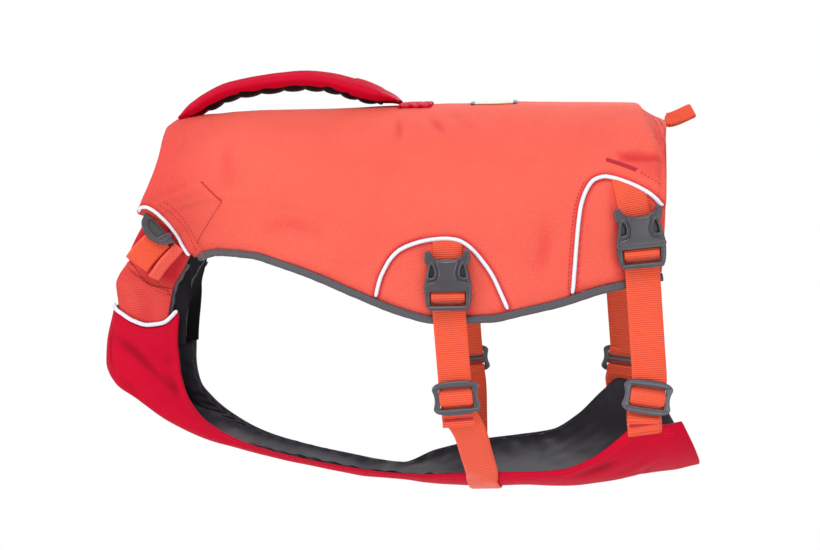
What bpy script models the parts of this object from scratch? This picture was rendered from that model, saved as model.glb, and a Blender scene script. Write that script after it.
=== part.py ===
"""Dog life jacket: foam back panel, chest and belly sling, grab handle and adjustable straps.

Frame: +X toward the tail, +Z up, the left side at -Y.  The origin lies on the inner
face of the back panel, on the spine line, where the wearer's back holds the jacket up.
"""
import math

import bpy
from mathutils import Vector

MM = 0.001

# ---------------------------------------------------------------- driving sizes (metres)
GAP = 0.3 * MM              # clearance between neighbouring pieces
FOAM_WALL = 10.0 * MM       # padded back panel
EDGE_WALL = 4.0 * MM        # back panel where it is stitched flat at its edges
EDGE_TAPER = 14.0 * MM      # distance over which the foam thins to the edge
OUTER_WALL = 2.2 * MM       # red chest and belly cloth
LINING_WALL = 1.5 * MM      # grey lining
TONGUE_WALL = 1.8 * MM      # neck tongue cloth
FLAP_WALL = 1.2 * MM        # flap over the tongue
BINDING_HIGH = 6.0 * MM     # edge binding seen from the side
BINDING_THICK = 5.6 * MM
PIPING_R = 1.7 * MM
WEB_WIDE = 25.0 * MM        # webbing
WEB_THICK = 1.7 * MM
PLATE_THICK = 3.0 * MM      # strap sliders and neck locks
BUCKLE_THICK = 8.0 * MM
BUCKLE_LIFT = 3.3 * MM      # back of a buckle over the panel's face
TONGUE_LINING = 1.2 * MM    # grey cloth behind a neck tongue
TONGUE_DEPTH = 26.0 * MM    # how far a tongue runs down inside the chest pocket
TONGUE_EDGE = 3.4 * MM      # binding on a tongue's rear edge, seen from the side
NECK_WEB_WIDE = 19.5 * MM   # webbing of the neck lock
ROLL_WIDE = 8.6 * MM        # rolled cloth tab under the neck lock
ROLL_THICK = 4.0 * MM
HANDLE_SKIN = 1.6 * MM      # cloth of the grab handle
TAIL_LOOP_WIDE = 14.0 * MM
TAIL_LOOP_THICK = 1.5 * MM
TAIL_LOOP_HALF_GAP = 1.3 * MM  # from the loop's middle to the middle of each layer
LABEL_WALL = 0.9 * MM
STRIP_WALL = 2.2 * MM       # folded cloth that sews the handle down

COLLECTION = "Dog_Life_Jacket"
ORANGE = (0.89, 0.13, 0.08)
RED = (0.55, 0.0, 0.03)
GREY = (0.05, 0.045, 0.055)
WEB = (0.90, 0.12, 0.05)
PLASTIC = (0.10, 0.10, 0.12)
WHITE = (0.75, 0.80, 0.84)
PALE = (0.70, 0.70, 0.66)

OUTWARD = Vector((0.0, -1.0, 0.0))     # away from the body on the left side
SIDES = ((-1, "left"), (1, "right"))


def clear_scene():
    """Remove every object that a new file starts with."""
    for old in list(bpy.data.objects):
        bpy.data.objects.remove(old, do_unlink=True)


def smooth(value):
    """Ease a value held to 0..1."""
    value = min(1.0, max(0.0, value))
    return value * value * (3.0 - 2.0 * value)


def spline(rows, key, column, at):
    """Monotone-ish cubic through the rows' (key, column) pairs, held at both ends."""
    xs = [row[key] for row in rows]
    ys = [row[column] for row in rows]
    if at <= xs[0]:
        return ys[0] + (ys[1] - ys[0]) / (xs[1] - xs[0]) * (at - xs[0])
    if at >= xs[-1]:
        return ys[-1] + (ys[-1] - ys[-2]) / (xs[-1] - xs[-2]) * (at - xs[-1])
    i = 0
    while at > xs[i + 1]:
        i += 1

    def slope(j):
        if j == 0:
            return (ys[1] - ys[0]) / (xs[1] - xs[0])
        if j == len(xs) - 1:
            return (ys[-1] - ys[-2]) / (xs[-1] - xs[-2])
        before = (ys[j] - ys[j - 1]) / (xs[j] - xs[j - 1])
        after = (ys[j + 1] - ys[j]) / (xs[j + 1] - xs[j])
        if before * after <= 0.0:
            return 0.0
        return 2.0 * before * after / (before + after)

    span = xs[i + 1] - xs[i]
    f = (at - xs[i]) / span
    h00 = (1 + 2 * f) * (1 - f) * (1 - f)
    h10 = f * (1 - f) * (1 - f)
    h01 = f * f * (3 - 2 * f)
    h11 = f * f * (f - 1)
    return h00 * ys[i] + h10 * span * slope(i) + h01 * ys[i + 1] + h11 * span * slope(i + 1)


def rows(columns, *values):
    """Name the columns of a short table; values are in millimetres."""
    names = columns.split()
    return [{n: v * MM for n, v in zip(names, line)} for line in values]


def plain_rows(columns, *values):
    """Name the columns of a short table of plain numbers."""
    names = columns.split()
    return [dict(zip(names, line)) for line in values]


# ---------------------------------------------------------------- back panel
# stations along the back: spine height, hem height, widest half width, half width at hem
BACK = rows(
    "x spine hem wide tuck",
    (-226, -6.5, -128.4, 57, 22),
    (-205, 1.8, -126.4, 60, 25),
    (-192, 3, -123.9, 63, 30),
    (-183, 4, -119.6, 66, 37),
    (-174, 4.5, -116.6, 69, 45),
    (-158, 6, -114.4, 74, 56),
    (-128, 7, -115.6, 82, 74),
    (-102, 7.3, -121.8, 87, 83),
    (-77, 7.6, -129.6, 90, 88),
    (-38, 8.4, -145, 92.5, 92),
    (-8, 9.8, -156.3, 93, 93),
    (18, 10.8, -162.2, 93, 93),
    (59, 11, -160.9, 93, 92),
    (81, 11, -156, 92.5, 91),
    (110, 10.8, -149, 91.5, 89),
    (138, 10.5, -139.8, 91, 87),
    (170, 9.3, -132.2, 90.2, 86.2),
    (176, 7.4, -130.8, 90, 86),
    (181, 4, -129.8, 89.8, 85.8),
    (186, 1, -129, 89.5, 85.5),
    (194, -2.5, -127.8, 89, 85),
)
# half section from spine to hem: share of the half width and of the drop
ARCH = plain_rows(
    "t side drop",
    (0.00, 0.000, 0.000),
    (0.10, 0.215, 0.034),
    (0.22, 0.450, 0.110),
    (0.36, 0.700, 0.235),
    (0.50, 0.880, 0.395),
    (0.64, 0.975, 0.570),
    (0.82, 1.000, 0.790),
    (1.00, 1.000, 1.000),
)
# front edge (the neck) and rear edge of the panel, from spine to hem
FRONT_EDGE = plain_rows(
    "t x",
    (0.00, -218), (0.10, -217), (0.22, -215.2), (0.38, -213.2), (0.465, -214.8), (0.54, -218.3),
    (0.64, -227), (0.69, -232), (0.733, -218.2), (0.798, -208), (0.878, -200), (0.94, -195), (1.00, -190.5),
)
REAR_EDGE = plain_rows(
    "t x",
    (0.00, 194.5), (0.10, 194), (0.22, 191), (0.40, 187.5), (0.60, 185), (0.80, 184), (1.00, 183),
)


def back_hem(x):
    """Height of the panel's own hem, above the binding."""
    return spline(BACK, "x", "hem", x) + BINDING_HIGH + GAP


def back_at(x, t):
    """Point of the left half of the outer face at station x, t from spine 0 to hem 1."""
    top = spline(BACK, "x", "spine", x)
    wide = spline(BACK, "x", "wide", x)
    tuck = spline(BACK, "x", "tuck", x)
    side = spline(ARCH, "t", "side", t)
    drop = spline(ARCH, "t", "drop", t)
    pull = smooth((t - 0.45) / 0.62)
    return Vector((x, -(wide * side + (tuck - wide) * pull), top + (back_hem(x) - top) * drop))


def back_point(u, v):
    """Outer face of the panel: u from neck to tail, v from left hem -1 to right hem 1."""
    t = abs(v)
    front = spline(FRONT_EDGE, "t", "x", t) * MM
    rear = spline(REAR_EDGE, "t", "x", t) * MM
    point = back_at(front + (rear - front) * u, t)
    if v > 0:
        point.y = -point.y
    return point


def facing(surface, u, v, outward=1.0):
    """Unit normal of a surface by differences."""
    e = 0.004
    du = surface(u + e, v) - surface(u - e, v)
    dv = surface(u, v + e) - surface(u, v - e)
    return du.cross(dv).normalized() * outward


def t_at_height(x, z):
    """Section parameter of the back panel at a height."""
    low, high = 0.0, 1.1
    for _ in range(40):
        mid = 0.5 * (low + high)
        if back_at(x, mid).z > z:
            low = mid
        else:
            high = mid
    return 0.5 * (low + high)


def on_back(x, z, lift, side=-1):
    """Point over the panel's outer face at station x and height z, and its normal."""
    t = t_at_height(x, z)
    e = 0.004
    point = back_at(x, t)
    along = back_at(x + e, t) - back_at(x - e, t)
    down = back_at(x, t + e) - back_at(x, t - e)
    normal = down.cross(along).normalized()
    if normal.y > 0:
        normal = -normal
    point = point + normal * lift
    if side > 0:
        point.y = -point.y
        normal.y = -normal.y
    return point, normal


def even_bezier(p0, p1, p2, p3, share):
    """Point at a share of a cubic's length, carried on straight beyond its ends."""
    steps = 20
    path = []
    for i in range(steps + 1):
        f = i / steps
        a = 1.0 - f
        path.append(p0 * (a ** 3) + p1 * (3 * a * a * f) + p2 * (3 * a * f * f) + p3 * (f ** 3))
    spans = [(path[i + 1] - path[i]).length for i in range(steps)]
    if share >= 1.0:
        return p3 + (p3 - path[-2]).normalized() * (share - 1.0) * sum(spans)
    if share <= 0.0:
        return p0 + (path[1] - p0).normalized() * share * sum(spans)
    goal = share * sum(spans)
    i = 0
    while goal > spans[i] and i < steps - 1:
        goal -= spans[i]
        i += 1
    f = (i + goal / spans[i]) / steps
    a = 1.0 - f
    return p0 * (a ** 3) + p1 * (3 * a * a * f) + p2 * (3 * a * f * f) + p3 * (f ** 3)


# ---------------------------------------------------------------- chest and belly sling
# centre line and edges from the neck to the tail; bow pushes the side walls out,
# flat is the share of the half width that stays level at the middle
SLING = rows(
    "s cx cz ex ey ez bow",
    (0, -265, -158, -203.5, 26, -154, 12),
    (30, -274, -188, -207, 24.5, -190, 10),
    (50, -276, -207, -206.5, 21.7, -209, 10),
    (75, -267.5, -226, -202.5, 21.2, -229, 9),
    (102, -251.5, -236.5, -193, 24.8, -243.7, 8),
    (138, -224, -256.5, -177, 28, -258, 5),
    (190, -176.5, -278.7, -148.2, 26, -272.6, 3),
    (245, -125, -290, -107, 24, -284.2, 1),
    (299, -72.5, -299.7, -63.7, 22.2, -291.8, 1),
    (325, -46, -303.8, -42, 20.4, -295, 1),
    (351, -20.4, -304.8, -20, 19.3, -296.6, 1),
    (378, 5.4, -305, 5.4, 41.5, -291, 1),
    (416, 43.6, -305, 46, 57, -283.6, 2),
    (454, 81.4, -303, 80, 64.7, -280.2, 2),
    (491, 118.7, -301.5, 110, 71, -276.2, 2),
    (516, 143.4, -298.3, 133.2, 82.2, -263.9, 3),
    (543, 170, -293.5, 156, 90.5, -243.4, 3),
    (560, 187, -290.8, 171, 89, -231.2, 3),
    (577, 204, -287.5, 185, 88.5, -235, 3),
    (597, 224, -283, 200, 80, -234, 2),
)
SLING_LONG = SLING[-1]["s"]
# pocket mouth: how far its rim dips between the neckline and the leg side
MOUTH = plain_rows(
    "t dip",
    (0.00, 1), (0.17, 1), (0.25, 2.5), (0.33, 5), (0.44, 9), (0.58, 15.2), (0.72, 18.5), (0.86, 17.3),
    (1.00, 8),
)


def sling_point(u, v):
    """Outer face of the sling: u from neck to tail, v from left edge -1 to right edge 1."""
    t = abs(v)
    s = u * SLING_LONG
    dip = spline(MOUTH, "t", "dip", t) * MM
    s += dip * (1.0 - smooth(s / (60 * MM)))
    c = Vector((spline(SLING, "s", "cx", s), 0.0, spline(SLING, "s", "cz", s)))
    e = Vector((spline(SLING, "s", "ex", s), spline(SLING, "s", "ey", s), spline(SLING, "s", "ez", s)))
    bow = spline(SLING, "s", "bow", s)
    keel = smooth((210 * MM - s) / (120 * MM))
    reach = 0.55 + 0.40 * keel
    hold = 0.35 + 0.42 * keel
    p1 = Vector((c.x, (e.y + bow) * reach, c.z))
    p2 = Vector((e.x + (c.x - e.x) * hold, e.y + bow * 1.3, e.z + (c.z - e.z) * hold))
    point = even_bezier(c, p1, p2, e, t)
    if v < 0:
        point.y = -point.y
    return point


# ---------------------------------------------------------------- meshes
PARTS = bpy.data.collections.new(COLLECTION)


def finish(name, data, colour, rough=0.7):
    """Add a mesh or a curve to the jacket under its own name and colour."""
    obj = bpy.data.objects.new(name, data)
    PARTS.objects.link(obj)
    paint(obj, colour, rough)
    return obj


def paint(obj, colour, rough=0.7):
    """Give a piece its own Principled material."""
    material = bpy.data.materials.new(obj.name)
    material.use_nodes = True
    shader = material.node_tree.nodes["Principled BSDF"]
    shader.inputs["Base Color"].default_value = (colour[0], colour[1], colour[2], 1.0)
    shader.inputs["Roughness"].default_value = rough
    obj.data.materials.append(material)


def grid_shell(name, colour, surface, us, vs, wall, lift=0.0, outward=1.0):
    """Closed cloth wall under a surface: an outer and an inner grid joined at the edges."""
    verts = []
    nu, nv = len(us), len(vs)
    for layer in (0, 1):
        for u in us:
            for v in vs:
                n = facing(surface, u, v, outward)
                depth = lift if layer == 0 else lift - wall(u, v)
                verts.append(surface(u, v) + n * depth)
    faces = []
    half = nu * nv

    def at(layer, i, j):
        return layer * half + i * nv + j

    for i in range(nu - 1):
        for j in range(nv - 1):
            faces.append((at(0, i, j), at(0, i + 1, j), at(0, i + 1, j + 1)))
            faces.append((at(0, i, j), at(0, i + 1, j + 1), at(0, i, j + 1)))
            faces.append((at(1, i, j), at(1, i + 1, j + 1), at(1, i + 1, j)))
            faces.append((at(1, i, j), at(1, i, j + 1), at(1, i + 1, j + 1)))
    for i in range(nu - 1):
        faces.append((at(0, i, 0), at(1, i, 0), at(1, i + 1, 0), at(0, i + 1, 0)))
        faces.append((at(0, i, nv - 1), at(0, i + 1, nv - 1), at(1, i + 1, nv - 1), at(1, i, nv - 1)))
    for j in range(nv - 1):
        faces.append((at(0, 0, j), at(0, 0, j + 1), at(1, 0, j + 1), at(1, 0, j)))
        faces.append((at(0, nu - 1, j), at(1, nu - 1, j), at(1, nu - 1, j + 1), at(0, nu - 1, j + 1)))
    return from_faces(name, colour, verts, faces)


def from_faces(name, colour, verts, faces, rough=0.7):
    """Mesh object from points and faces, with its faces turned outward."""
    mesh = bpy.data.meshes.new(name)
    mesh.from_pydata([tuple(p) for p in verts], [], faces)
    volume = 0.0
    for face in mesh.polygons:
        p = [mesh.vertices[k].co for k in face.vertices]
        for k in range(1, len(p) - 1):
            volume += p[0].dot(p[k].cross(p[k + 1]))
    if volume < 0.0:
        mesh.flip_normals()
    mesh.shade_smooth()
    return finish(name, mesh, colour, rough)


def loft(name, colour, loops):
    """Solid through loops of equal point counts, closed at both ends."""
    verts = [point for loop in loops for point in loop]
    k = len(loops[0])
    last = len(loops) - 1
    faces = []
    for i in range(last):
        for j in range(k):
            m = (j + 1) % k
            faces.append((i * k + j, (i + 1) * k + j, (i + 1) * k + m, i * k + m))
    faces.append(tuple(range(k)))
    faces.append(tuple(reversed(range(last * k, (last + 1) * k))))
    return from_faces(name, colour, verts, faces)


def sweep(name, colour, frames, profile):
    """Sweep a profile of (across, out) pairs along frames of (point, across, out)."""
    loops = []
    for point, across, out in frames:
        loops.append([point + across * a + out * b for a, b in profile])
    return loft(name, colour, loops)


def cord(name, colour, path, radius):
    """Round cord along a path."""
    curve = bpy.data.curves.new(name, "CURVE")
    curve.dimensions = "3D"
    curve.bevel_depth = radius
    curve.bevel_resolution = 1
    curve.use_fill_caps = True
    curve.render_resolution_u = 0
    line = curve.splines.new("POLY")
    line.points.add(len(path) - 1)
    for node, point in zip(line.points, path):
        node.co = (point.x, point.y, point.z, 1.0)
    return finish(name, curve, colour)


def slab(wide, thick):
    """Webbing profile: a flat strip with eased edges."""
    w, t = wide / 2, thick / 2
    ease = min(thick * 0.28, 0.5 * MM)
    return [(-w + ease, -t), (w - ease, -t), (w, -t + ease), (w, t - ease),
            (w - ease, t), (-w + ease, t), (-w, t - ease), (-w, -t + ease)]


def catmull(points, steps):
    """Smooth path through points."""
    path = []
    last = len(points) - 1
    for i in range(last):
        p0 = points[max(0, i - 1)]
        p1 = points[i]
        p2 = points[i + 1]
        p3 = points[min(last, i + 2)]
        for k in range(steps):
            f = k / steps
            path.append(0.5 * ((2 * p1) + (p2 - p0) * f + (2 * p0 - 5 * p1 + 4 * p2 - p3) * f * f
                               + (3 * p1 - p0 - 3 * p2 + p3) * f ** 3))
    path.append(points[-1].copy())
    return path


def tangents(path):
    """Directions along a path."""
    out = []
    for i in range(len(path)):
        a = path[max(0, i - 1)]
        b = path[min(len(path) - 1, i + 1)]
        out.append((b - a).normalized())
    return out


def framed(path, normals):
    """Frames with the width across the path and the thickness along the normals."""
    frames = []
    for point, along, normal in zip(path, tangents(path), normals):
        across = along.cross(normal).normalized()
        out = across.cross(along).normalized()
        frames.append((point, across, out))
    return frames


def mirror_point(point, side):
    """Left point for side -1, its mirror for side 1."""
    return Vector((point.x, point.y * -side, point.z)) if side > 0 else point.copy()


def panel_distance(u, v):
    """Rough distance of a back panel point to the panel's nearest edge."""
    return min(u * 0.40, (1.0 - u) * 0.38, (1.0 - abs(v)) * 0.19)


def back_wall(u, v):
    """Foam thickness, thinning to the stitched edges."""
    return EDGE_WALL + (FOAM_WALL - EDGE_WALL) * smooth(panel_distance(u, v) / EDGE_TAPER)


def spaced(count, low=0.0, high=1.0, ease=0.0):
    """Parameters from low to high, closer together at the ends by ease."""
    out = []
    for i in range(count + 1):
        f = i / count
        g = f - ease * math.sin(2 * math.pi * f) / (2 * math.pi)
        out.append(low + (high - low) * g)
    return out


BACK_US = spaced(24, ease=0.5)
BACK_HALF = [0.0, 0.08, 0.17, 0.26, 0.35, 0.44, 0.53, 0.61, 0.67, 0.715, 0.77, 0.84, 0.92, 1.0]


def build_back():
    """Padded back panel in one piece over the spine."""
    vs = [-t for t in reversed(BACK_HALF[1:])] + BACK_HALF
    grid_shell("back_panel", ORANGE, back_point, BACK_US, vs, back_wall)


def edge_frames(side):
    """Frames along the hem from the neck to the tail corner."""
    frames = []
    e = 0.003
    for u in BACK_US[1:]:
        point = back_point(u, -1.0)
        n = facing(back_point, u, -1.0)
        down = (back_point(u, -1.0 - e) - point).normalized()
        along = (back_point(u + e, -1.0) - back_point(u - e, -1.0)).normalized()
        out = (down - along * down.dot(along)).normalized()
        base = point - n * (EDGE_WALL / 2) + out * (GAP * 1.5 + BINDING_HIGH / 2)
        frames.append((mirror_point(base, side), mirror_point(out, side), mirror_point(n, side)))
    return frames


def build_bindings():
    """Dark binding under both hems."""
    w, t = BINDING_HIGH / 2, BINDING_THICK / 2
    profile = [(-w, -t * 0.8), (w * 0.4, -t), (w, -t * 0.5), (w, t * 0.5), (w * 0.4, t), (-w, t * 0.8)]
    for side, tag in SIDES:
        sweep("hem_binding_" + tag, GREY, edge_frames(side), profile)


# ---------------------------------------------------------------- piping on the panel
PIPING = {
    "neck": rows("x z", (-229.6, -79), (-227.5, -75.6), (-221.5, -75.1), (-216.6, -77.5), (-211.6, -82.1),
                 (-206.5, -88.8), (-202, -97.8), (-197.5, -106.9), (-193, -115.6)),
    "front_arch": rows("x z", (-26.5, -142.4), (-21.5, -125), (-10.5, -109), (8, -101), (30, -99),
                       (43.5, -105), (58, -122), (67, -140), (71.5, -150.4)),
    "rear_arch": rows("x z", (119.3, -139), (121, -105), (124, -75), (130.5, -59), (138, -54), (146, -54),
                      (160.5, -59), (173, -66), (182.5, -74.5)),
}


def build_piping():
    """White piping laid over the panel."""
    for name, table in PIPING.items():
        for side, tag in SIDES:
            points = [on_back(r["x"], r["z"], PIPING_R + GAP * 1.6, side)[0] for r in table]
            cord("piping_" + name + "_" + tag, WHITE, catmull(points, 3), PIPING_R)


# ---------------------------------------------------------------- sling
SLING_COLUMNS = [0.25, 0.33, 0.44, 0.58, 0.72, 0.86]


def sling_rims():
    """Row and column parameters of the sling grids."""
    us = spaced(26, 0.0, 1.0, 0.1)
    half = [0.0, 0.17] + SLING_COLUMNS + [1.0]
    return us, [-t for t in reversed(half[1:])] + half


def build_sling():
    """Red outer cloth and grey lining of the chest and belly sling."""
    us, vs = sling_rims()
    grid_shell("sling_outer", RED, sling_point, us, vs, lambda u, v: OUTER_WALL, outward=-1.0)
    inner = [u for u in us if u > TONGUE_DEPTH / SLING_LONG + 0.002]
    grid_shell("sling_lining", GREY, sling_point, inner, vs, lambda u, v: LINING_WALL,
               lift=-(OUTER_WALL + GAP * 1.5), outward=-1.0)


# ---------------------------------------------------------------- neck tongues
# rows across the tongue between the panel and the pocket: front edge, rear edge, bulge
TONGUE = rows(
    "fx fy fz rx ry rz bulge",
    (-237.5, -45.5, -107.6, -197.5, -25.0, -125, 3),
    (-241, -42.5, -120, -201.5, -24.5, -133, 3.5),
    (-250.5, -37.0, -136, -204, -24.0, -142, 3),
)
TONGUE_COLUMNS = [0.32, 0.44, 0.58, 0.72, 0.86, 0.955]     # where it lies inside the pocket
TONGUE_DROP = OUTER_WALL + FLAP_WALL + 5 * GAP


def tongue_rows():
    """Rows of points down the outer face of the left tongue, front to rear."""
    lines = []
    last = len(TONGUE_COLUMNS) - 1
    for u in (0.014, -0.003):
        line = []
        for k in range(last + 1):
            t = 0.722 + 0.248 * k / last
            n = facing(back_point, u, -t)
            line.append(back_point(u, -t) - n * (back_wall(max(u, 0.0), t) + 4 * GAP))
        lines.append(line)
    for r in TONGUE:
        line = []
        for k in range(last + 1):
            f = k / last
            x = r["fx"] + (r["rx"] - r["fx"]) * f
            y = r["fy"] + (r["ry"] - r["fy"]) * f ** 1.4
            z = r["fz"] + (r["rz"] - r["fz"]) * f
            line.append(Vector((x, y - r["bulge"] * math.sin(math.pi * f), z)))
        lines.append(line)
    for s in (-3.0 * MM, 11.0 * MM, TONGUE_DEPTH - 1.0 * MM):
        line = []
        for t in TONGUE_COLUMNS:
            n = facing(sling_point, s / SLING_LONG, -t, -1.0)
            line.append(sling_point(s / SLING_LONG, -t) - n * TONGUE_DROP)
        lines.append(line)
    return lines


def lines_surface(lines):
    """Surface through rows of points: u down the rows, v along each."""
    def surface(u, v):
        def at(line):
            f = min(max(v, -0.2), 1.2) * (len(line) - 1)
            i = min(max(int(math.floor(f)), 0), len(line) - 2)
            p0 = line[max(i - 1, 0)]
            p3 = line[min(i + 2, len(line) - 1)]
            return blend(p0, line[i], line[i + 1], p3, f - i)
        f = u * (len(lines) - 1)
        i = min(max(int(math.floor(f)), 0), len(lines) - 2)
        return blend(at(lines[max(i - 1, 0)]), at(lines[i]), at(lines[i + 1]),
                     at(lines[min(i + 2, len(lines) - 1)]), f - i)
    return surface


def blend(p0, p1, p2, p3, f):
    """Catmull-Rom step between p1 and p2."""
    return 0.5 * ((2 * p1) + (p2 - p0) * f + (2 * p0 - 5 * p1 + 4 * p2 - p3) * f * f
                  + (3 * p1 - p0 - 3 * p2 + p3) * f ** 3)


def sided(surface, side):
    """A left surface or its mirror."""
    if side < 0:
        return surface

    def mirrored(u, v):
        p = surface(u, v)
        p.y = -p.y
        return p
    return mirrored


TONGUE_FACE = lines_surface(tongue_rows())


def on_tongue(x, z, lift):
    """Point over the left tongue near a place seen from the side, and the normal there."""
    best = None
    u0, v0, span = 0.4, 0.5, 0.5
    for _ in range(7):
        found = None
        for i in range(-4, 5):
            for j in range(-4, 5):
                u = min(1.0, max(0.0, u0 + span * i / 4))
                v = min(1.1, max(-0.1, v0 + span * j / 4))
                p = TONGUE_FACE(u, v)
                d = (p.x - x) ** 2 + (p.z - z) ** 2
                if found is None or d < found[0]:
                    found = (d, u, v, p)
        best = found
        u0, v0 = found[1], found[2]
        span *= 0.4
    n = facing(TONGUE_FACE, best[1], best[2])
    if n.y > 0:
        n = -n
    p = Vector((x, best[3].y, z))
    return p + n * lift, n


def flap_face(u, v):
    """Lower part of the tongue's face, which the flap covers."""
    top = 0.43 + 0.13 * smooth(v / 0.7)
    return TONGUE_FACE(top + (0.95 - top) * u, v)


def tongue_edge(side):
    """Frames down the rear edge of a tongue and its lining."""
    layers = TONGUE_WALL + GAP + TONGUE_LINING
    frames = []
    for k in range(8):
        u = 0.25 + 0.42 * k / 7
        n = facing(TONGUE_FACE, u, 0.98)
        rear = (TONGUE_FACE(u, 1.0) - TONGUE_FACE(u, 0.96)).normalized()
        middle = TONGUE_FACE(u, 1.0) - n * (layers / 2) + rear * (GAP * 2.4 + TONGUE_EDGE / 2)
        frames.append((mirror_point(middle, side), mirror_point(rear, side), mirror_point(n, side)))
    return frames


def pocket_rim(side):
    """Path of the piping just above the pocket's mouth."""
    rim = []
    for k in range(17):
        v = -(0.25 + 0.735 * k / 16)
        n = facing(sling_point, 0.0, v, -1.0)
        rim.append(mirror_point(sling_point(-(PIPING_R + GAP * 4.2) / SLING_LONG, v) + n * GAP, side))
    return rim


def build_tongues():
    """Tongue cloth, its flap, lining and rear binding on both sides of the neck."""
    us = spaced(14)
    vs = spaced(5)
    w, t = TONGUE_EDGE / 2, 2.2 * MM
    edge_profile = [(-w, -t), (w * 0.5, -t), (w, 0.0), (w * 0.5, t), (-w, t)]
    for side, tag in SIDES:
        face = sided(TONGUE_FACE, side)
        grid_shell("neck_tongue_" + tag, ORANGE, face, us, vs, lambda u, v: TONGUE_WALL, outward=-side)
        grid_shell("neck_tongue_lining_" + tag, GREY, face, us, vs, lambda u, v: TONGUE_LINING,
                   lift=-(TONGUE_WALL + GAP), outward=-side)
        grid_shell("neck_flap_" + tag, ORANGE, sided(flap_face, side), spaced(7), vs,
                   lambda u, v: FLAP_WALL, lift=FLAP_WALL + 2.4 * GAP, outward=-side)
        sweep("neck_binding_" + tag, GREY, tongue_edge(side), edge_profile)
        cord("piping_pocket_" + tag, WHITE, pocket_rim(side), PIPING_R)


def strap(name, colour, path, normals, side, wide, thick):
    """Flat strip along a left-side path, mirrored for the right."""
    p = [mirror_point(q, side) for q in path]
    n = [mirror_point(q, side) for q in normals]
    sweep(name, colour, framed(p, n), slab(wide, thick))


def plate(name, loops, thick, origin, across, down, side):
    """Flat plastic cut from loops of (across, down) pairs; the first is the outline."""
    normal = across.cross(down).normalized()
    if normal.y > 0:
        normal = -normal
    curve = bpy.data.curves.new(name + "_outline", "CURVE")
    curve.dimensions = "2D"
    curve.fill_mode = "BOTH"
    curve.extrude = 0.5
    for loop in loops:
        line = curve.splines.new("POLY")
        line.points.add(len(loop) - 1)
        for point, (a, b) in zip(line.points, loop):
            point.co = (a, b, 0.0, 1.0)
        line.use_cyclic_u = True
    holder = bpy.data.objects.new(name + "_outline", curve)
    flat = bpy.data.meshes.new_from_object(holder)
    bpy.data.objects.remove(holder, do_unlink=True)
    bpy.data.curves.remove(curve)
    verts = []
    index = {}
    remap = []
    for v in flat.vertices:
        key = (round(v.co.x, 4), round(v.co.y, 4), v.co.z > 0)
        if key not in index:
            index[key] = len(verts)
            a, b = v.co.x * MM, v.co.y * MM
            n = thick / 2 if v.co.z > 0 else -thick / 2
            verts.append(mirror_point(origin + across * a + down * b + normal * n, side))
        remap.append(index[key])
    faces = []
    for f in flat.polygons:
        ids = []
        for k in f.vertices:
            if remap[k] not in ids:
                ids.append(remap[k])
        if len(ids) > 2:
            faces.append(tuple(ids))
    bpy.data.meshes.remove(flat)
    return from_faces(name, PLASTIC, verts, faces, 0.4)


def arc_loop(wide, high, r, n=3, drop=0.0):
    """Rounded rectangle loop in millimetres, its middle set down by drop."""
    out = []
    for qx, qy, start in ((1, 1, 0), (-1, 1, 90), (-1, -1, 180), (1, -1, 270)):
        for k in range(n + 1):
            a = math.radians(start + 90.0 * k / n)
            out.append((qx * (wide / 2 - r) + r * math.cos(a), drop + qy * (high / 2 - r) + r * math.sin(a)))
    return out


def mirrored_loop(points):
    """Close a half outline, given from top to bottom on the right, with its mirror."""
    return points + [(-a, b) for a, b in reversed(points) if abs(a) > 1e-6]


# ---------------------------------------------------------------- belt hardware, in millimetres
BUCKLE_HALF = [
    (0.0, -16.2), (6.0, -16.6), (9.6, -17.4), (11.2, -18.6), (12.2, -21.2), (13.6, -22.2), (15.8, -21.4),
    (16.6, -18.0), (16.4, -13.4), (14.4, -11.2), (14.2, -7.0), (15.2, -1.8), (16.9, 0.8), (17.4, 4.0),
    (17.2, 11.0), (16.4, 17.0), (14.6, 20.9), (8.0, 22.0), (0.0, 22.2),
]
BUCKLE_EYE = [(13.1, -6.6), (12.6, -3.4), (9.6, -4.0), (8.9, -7.4), (10.3, -11.4), (12.2, -12.0)]
BUCKLE_SLOT = arc_loop(26.2, 12.2, 2.6, 2, 12.4)
SLIDER_OUTER = arc_loop(35.6, 24.4, 5.0, 3)
SLIDER_HOLES = [arc_loop(26.0, 5.6, 1.6, 1, -4.9), arc_loop(26.0, 5.6, 1.6, 1, 4.9)]
# belly straps: top end, buckle and slider as (x, z) with their lean in degrees, the webbing
# that falls free as (x, y, z), its course over the sling as (x, v), and the folded end's length
REAR_HUG = ((171.2, -0.972), (171.5, -0.942), (171.8, -0.912))
REAR_FALL = ((171.0, -91.6, -232.0),)
STRAPS = {
    "front": dict(
        top=(27.2, -106.5), buckle=(28.0, -129.3), lean=1.5, slider=(34.2, -216.6), slider_lean=6.0,
        fall_left=((39.5, -90.4, -235.2), (44.5, -85.2, -246.4), (48.5, -75.0, -264.0),
                   (52.0, -65.2, -280.0)),
        hug_left=((54.0, -0.93), (55.5, -0.82), (56.5, -0.66), (57.0, -0.48), (57.5, -0.30)),
        fall_right=((36.6, -90.4, -235.2), (37.6, -86.0, -246.6), (38.4, -75.5, -264.0),
                    (39.2, -63.9, -280.0)),
        hug_right=((39.5, -0.93), (39.8, -0.82), (40.0, -0.66), (40.0, -0.48), (40.0, -0.30)),
        fold=17.0,
    ),
    "rear": dict(
        top=(160.5, -70.5), buckle=(165.8, -97.5), lean=6.0, slider=(173.0, -213.8), slider_lean=-7.0,
        fall_left=REAR_FALL, hug_left=REAR_HUG, fall_right=REAR_FALL, hug_right=REAR_HUG, fold=20.0,
    ),
}
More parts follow.
